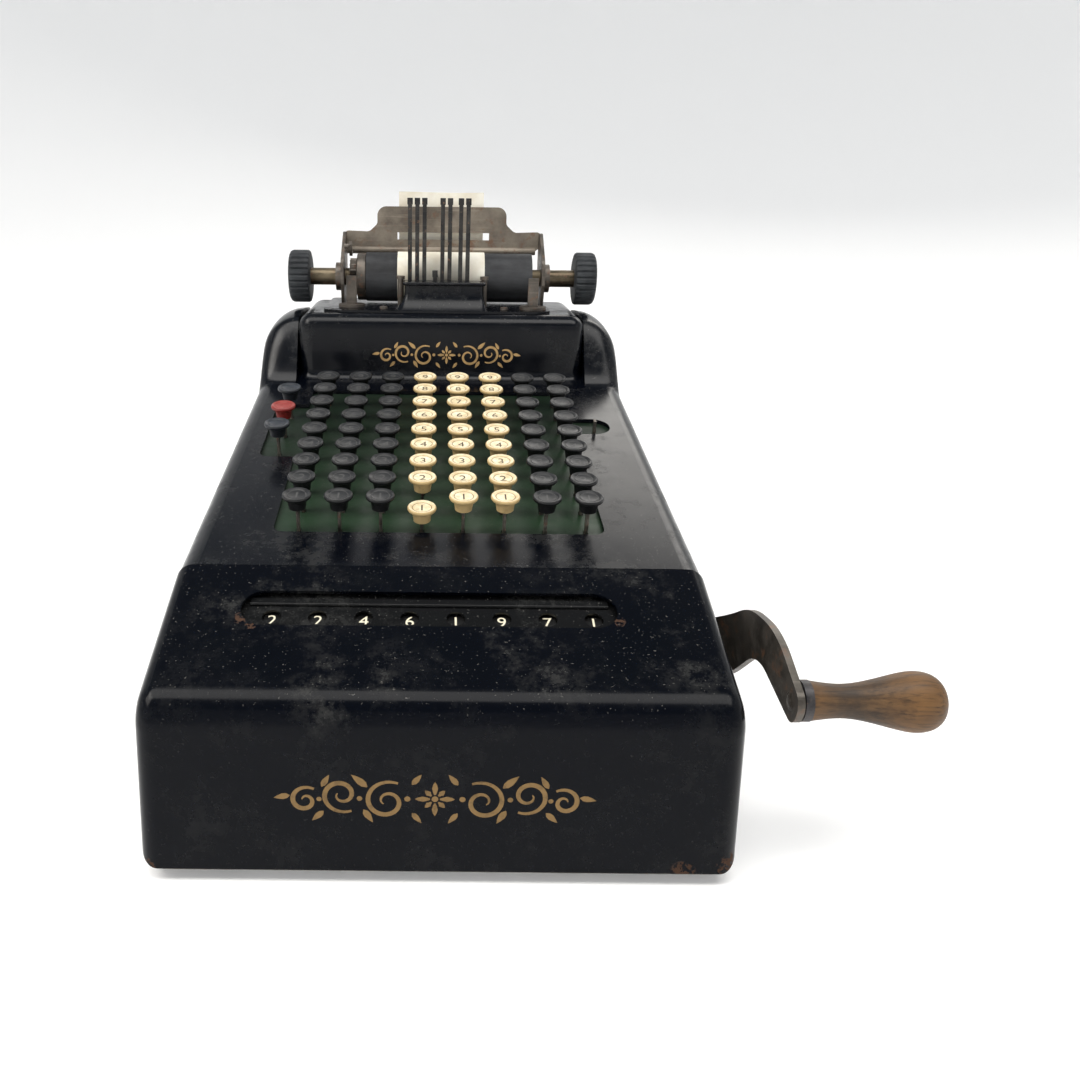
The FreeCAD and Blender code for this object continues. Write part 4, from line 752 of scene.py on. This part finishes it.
def knobs():
    """Moulded platen knobs with a fluted rim, rounded shoulders and a recessed hub."""
    for side, outward in (("left", -1), ("right", 1)):
        node = "platen_knob_" + side
        low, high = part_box(node)
        axis = (low + high) / 2
        radius, half = (high.z - low.z) / 2, (high.x - low.x) / 2
        place = Matrix.Translation(axis) @ Matrix.Rotation(math.radians(90 * outward), 4, "Y")
        shape = bmesh.new()
        steps = KNOB_GROOVES * 8
        rings = []
        for size, end, inset, share in KNOB_PROFILE:
            height = end * half + inset * MM
            points = grooved_ring(place, size / KNOB_RADIUS * radius, height, 0.95 * MM * share, steps)
            rings.append([shape.verts.new(point) for point in points])
        for lower, upper in zip(rings, rings[1:]):
            for step in range(steps):
                after = (step + 1) % steps
                shape.faces.new((lower[after], lower[step], upper[step], upper[after]))
        bmesh.ops.remove_doubles(shape, verts=shape.verts, dist=1e-7)
        bmesh.ops.recalc_face_normals(shape, faces=shape.faces)
        piece = new_piece("knob_" + side, shape, "knob_black", "platen")
        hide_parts(node)


def extrude_outline(shape, outline, place, low, high):
    """A solid from a flat outline, counter-clockwise, between two heights of a frame."""
    lower = [shape.verts.new(place @ Vector((x, y, low))) for x, y in outline]
    upper = [shape.verts.new(place @ Vector((x, y, high))) for x, y in outline]
    shape.faces.new(list(reversed(lower)))
    shape.faces.new(upper)
    count = len(outline)
    for index in range(count):
        after = (index + 1) % count
        shape.faces.new((lower[index], lower[after], upper[after], upper[index]))


def ratchet():
    """A toothed wheel with its drum, at the left end of the platen."""
    low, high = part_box("platen_ratchet")
    axis = Vector((low.x, (low.y + high.y) / 2, (low.z + high.z) / 2))
    place = Matrix.Translation(axis) @ Matrix.Rotation(math.radians(90), 4, "Y")
    shape = bmesh.new()
    teeth, outline = 18, []
    for tooth in range(teeth):
        start = 2 * math.pi * tooth / teeth
        for share, radius in ((0.0, 9.6), (0.12, 11.9), (0.3, 11.9), (0.85, 9.8)):
            turn = start + share * 2 * math.pi / teeth
            outline.append((radius * MM * math.cos(turn), radius * MM * math.sin(turn)))
    extrude_outline(shape, outline, place, 0.2 * MM, 4.4 * MM)
    width = (high.x - low.x) / MM
    drum = [(5.6, 4.3), (14.6, 4.3 + 0.7), (15.1, 5.6), (15.1, width - 0.5), (14.7, width), (5.6, width),
            (5.6, 4.3)]
    lathe(shape, in_metres(drum), place, 56)
    piece = new_piece("ratchet_wheel", shape, "bracket_steel", "platen")
    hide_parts("platen_ratchet")


SCREW_PROFILE = [(0.0, 0.0), (2.6, 0.0), (2.58, 0.35), (2.4, 0.62), (2.35, 0.7), (0.0, 0.7)]
RIVET_PROFILE = [(0.0, -0.3), (3.9, -0.3), (3.9, 0.05), (3.6, 0.25), (3.2, 0.3), (3.0, 0.12), (2.8, 0.3),
                 (1.6, 0.55), (0.0, 0.65)]


def hood_screws():
    """Slotted round-headed screws on the hood's plate."""
    heads = bmesh.new()
    loose = nodes["hood_screws"].data
    centres = island_centres(loose)
    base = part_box("hood_screws")[0].z
    for x, y in centres:
        turn = Matrix.Rotation(rng.uniform(0, math.pi), 4, "Z")
        place = Matrix.Translation((x, y, base)) @ turn
        lathe(heads, in_metres(SCREW_PROFILE), place, 32)
        for side in (1, -1):
            arc = [math.radians(angle) for angle in range(10, 171, 10)]
            outline = [(2.35 * MM * math.cos(angle), side * 2.35 * MM * math.sin(angle)) for angle in arc]
            if side < 0:
                outline.reverse()
            extrude_outline(heads, outline, place, 0.65 * MM, 1.3 * MM)
    bmesh.ops.recalc_face_normals(heads, faces=heads.faces)
    piece = new_piece("hood_screw_heads", heads, "bracket_steel", "machine")
    bevel = piece.modifiers.new("worn_edges", "BEVEL")
    bevel.width = 0.12 * MM
    bevel.segments = 1
    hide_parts("hood_screws")


def island_centres(mesh):
    """The middles, in X and Y, of a mesh's separate solids."""
    parent = list(range(len(mesh.vertices)))

    def root(index):
        while parent[index] != index:
            parent[index] = parent[parent[index]]
            index = parent[index]
        return index

    places = {}
    for index, vertex in enumerate(mesh.vertices):
        key = tuple(round(part, 6) for part in vertex.co)
        parent[index] = root(places.setdefault(key, index))
    for edge in mesh.edges:
        first, second = (root(index) for index in edge.vertices)
        parent[first] = second
    islands = {}
    for index, vertex in enumerate(mesh.vertices):
        islands.setdefault(root(index), []).append(vertex.co)
    middles = []
    for points in islands.values():
        middles.append([(min(point[axis] for point in points) + max(point[axis] for point in points)) / 2
                        for axis in range(2)])
    return sorted(middles)


def handle_rivet():
    """The riveted end of the handle's pin, on the inner face of the crank arm."""
    axis = Vector(joints["handle_spin"]["pos_m"])
    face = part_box("handle_ferrule")[0].x - 3.5 * MM
    place = Matrix.Translation((face, axis.y, axis.z)) @ Matrix.Rotation(math.radians(-90), 4, "Y")
    shape = bmesh.new()
    lathe(shape, in_metres(RIVET_PROFILE), place, 36)
    new_piece("handle_rivet", shape, "arm_steel", "crank")


# ---------------------------------------------------------------- gold scrollwork

def ribbon(shape, where, path, widths):
    """A flat band along a path, as wide as widths says at each point."""
    sides = []
    for index, (x, y) in enumerate(path):
        before, after = path[max(0, index - 1)], path[min(len(path) - 1, index + 1)]
        along = Vector((after[0] - before[0], after[1] - before[1])).normalized()
        half = widths[index] / 2
        sides.append((shape.verts.new(where(x - along.y * half, y + along.x * half)),
                      shape.verts.new(where(x + along.y * half, y - along.x * half))))
    for (left, right), (next_left, next_right) in zip(sides, sides[1:]):
        shape.faces.new((left, right, next_right, next_left))


def dot(shape, where, centre, radius):
    """A flat round dot of twelve sides."""
    turns = [math.radians(angle) for angle in range(0, 360, 30)]
    outline = [(centre[0] + radius * math.cos(turn), centre[1] + radius * math.sin(turn)) for turn in turns]
    shape.faces.new([shape.verts.new(where(x, y)) for x, y in outline])


def volute(centre, start, radius, turns, hand):
    """A spiral that curls in towards its centre, with a band that swells and thins."""
    path, widths = [], []
    for step in range(49):
        share = step / 48
        turn = math.radians(start) + hand * turns * 2 * math.pi * share
        reach = radius * (1 - 0.82 * share ** 0.9)
        path.append((centre[0] + reach * math.cos(turn), centre[1] + reach * math.sin(turn)))
        swell = math.sin(math.pi * min(1.0, 0.08 + share * 0.9)) ** 0.8
        widths.append(0.35 + 2.1 * swell * (1 - 0.55 * share))
    return path, widths


# (centre, start angle, radius, turns, hand), on one side of the rosette
VOLUTES = (((18.5, -1.2), 118, 9.2, 1.45, -1), ((36.0, 1.6), 242, 8.2, 1.4, 1),
           ((50.0, -1.0), 125, 6.2, 1.3, -1))
# (base, tip, width)
LEAVES = (((26.0, 5.2), (32.0, 10.6), 3.0), ((27.5, -5.0), (24.0, -10.8), 2.8),
          ((43.0, -5.8), (47.5, -10.2), 2.6), ((43.5, 5.2), (40.5, 10.4), 2.4),
          ((55.8, 1.2), (62.0, 0.0), 2.6), ((8.8, 6.4), (5.2, 10.9), 2.4), ((8.8, -6.4), (5.2, -10.9), 2.4))
# (centre, radius)
DOTS = (((29.0, 0.0), 1.1), ((44.6, -0.4), 1.0), ((10.6, 0.0), 1.2))


def scrollwork(shape, where, scale):
    """A symmetrical ornament of leaf scrolls about a rosette, 124 by 22 units."""
    for side in (1, -1):
        def place(x, y):
            return where(side * x * scale, y * scale)

        for centre, start, radius, turns, hand in VOLUTES:
            ribbon(shape, place, *volute(centre, start, radius, turns, hand))
        for base, tip, width in LEAVES:
            run = Vector((tip[0] - base[0], tip[1] - base[1]))
            path = [(base[0] + run.x * share, base[1] + run.y * share) for share in (0, 0.2, 0.45, 0.75, 1)]
            ribbon(shape, place, path, [0.3, width * 0.85, width, width * 0.6, 0.15])
        for centre, radius in DOTS:
            dot(shape, place, centre, radius)
    for petal in range(8):
        turn = math.radians(45 * petal)
        length = 7.6 if petal % 2 == 0 else 5.4

        def petal_place(x, y):
            return where((x * math.cos(turn) - y * math.sin(turn)) * scale,
                         (x * math.sin(turn) + y * math.cos(turn)) * scale)

        path = [(1.9, 0), (3.0, 0), (length * 0.62, 0), (length * 0.86, 0), (length, 0)]
        ribbon(shape, petal_place, path, [0.6, 1.5, 2.3, 1.4, 0.2])
    dot(shape, lambda x, y: where(x * scale, y * scale), (0.0, 0.0), 1.3)


def gold_ornament(name, node, centre_x, centre_z, scale, paint):
    """Gold-leaf scrollwork on a front face; it lies a hair in front of the enamel."""
    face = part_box(node)[0].y if node == "front_cover" else HOOD_FACE
    middle = Vector((CENTRE + centre_x, face - 0.03 * MM, centre_z))

    def where(x, y):
        return middle + Vector((x, 0, y))

    shape = bmesh.new()
    scrollwork(shape, where, scale * MM)
    bmesh.ops.recalc_face_normals(shape, faces=shape.faces)
    for face_made in shape.faces:
        if face_made.normal.y > 0:
            face_made.normal_flip()
    new_piece(name, shape, paint, "machine")


# ---------------------------------------------------------------- paper

def paper():
    """A slightly curled sheet that comes round the platen, under the table's roll and up behind the table."""
    low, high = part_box("paper_strip")
    roller_low, roller_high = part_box("platen_roller")
    axis_y, axis_z = (roller_low.y + roller_high.y) / 2, (roller_low.z + roller_high.z) / 2
    reach = (roller_high.z - roller_low.z) / 2 + 0.5 * MM
    leave = math.radians(75)
    route = [(axis_y + reach * math.cos(turn), axis_z + reach * math.sin(turn))
             for turn in (math.radians(angle) for angle in range(235, 74, -8))]
    back = high.y - 0.3 * MM
    last_y, last_z = route[-1]
    corner_z = last_z + (back - last_y) * math.tan(leave - math.pi / 2)
    bend = 5.0 * MM
    route += [(last_y + (back - bend - last_y) * share, last_z + (corner_z + 1.2 * MM - last_z) * share)
              for share in (0.35, 0.7, 1.0)]
    route += [(back - bend + bend * math.sin(turn), corner_z + 1.2 * MM + bend * (1 - math.cos(turn)))
              for turn in (math.radians(angle) for angle in (20, 40, 60, 80))]
    rise = route[-1][1]
    route += [(back, rise + (high.z - rise) * share) for share in (0.15, 0.4, 0.7, 0.88, 1.0)]
    across = 24
    shape = bmesh.new()
    rows = []
    for index, (y, z) in enumerate(route):
        free = max(0.0, (z - rise) / (high.z - rise)) if index > len(route) - 7 else 0.0
        row = []
        for step in range(across + 1):
            share = step / across
            curl = (-0.9 * MM * free * (0.5 + 0.5 * math.cos(share * 2 * math.pi))
                    - 0.25 * MM * free * math.sin(share * 9))
            top = -0.5 * MM * free * (1 - math.cos(share * 5)) / 2
            row.append(shape.verts.new((low.x + (high.x - low.x) * share, y + curl, z + top)))
        rows.append(row)
    for lower, upper in zip(rows, rows[1:]):
        for step in range(across):
            shape.faces.new((lower[step], lower[step + 1], upper[step + 1], upper[step]))
    piece = new_piece("paper_sheet", shape, "paper", "machine")
    thickness = piece.modifiers.new("thickness", "SOLIDIFY")
    thickness.thickness = 0.15 * MM
    thickness.offset = 0
    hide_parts("paper_strip")


add_camera()
add_studio()
add_floor()
dress_nodes()
keyboard()
number_wheels()
knobs()
ratchet()
hood_screws()
handle_rivet()
gold_ornament("front_ornament", "front_cover", -1.75 * MM, 39.5 * MM, 1.0, "gold_front_shaded")
gold_ornament("hood_ornament", "print_hood", 4.35 * MM, 160.6 * MM, 0.752, "gold_hood")
paper()
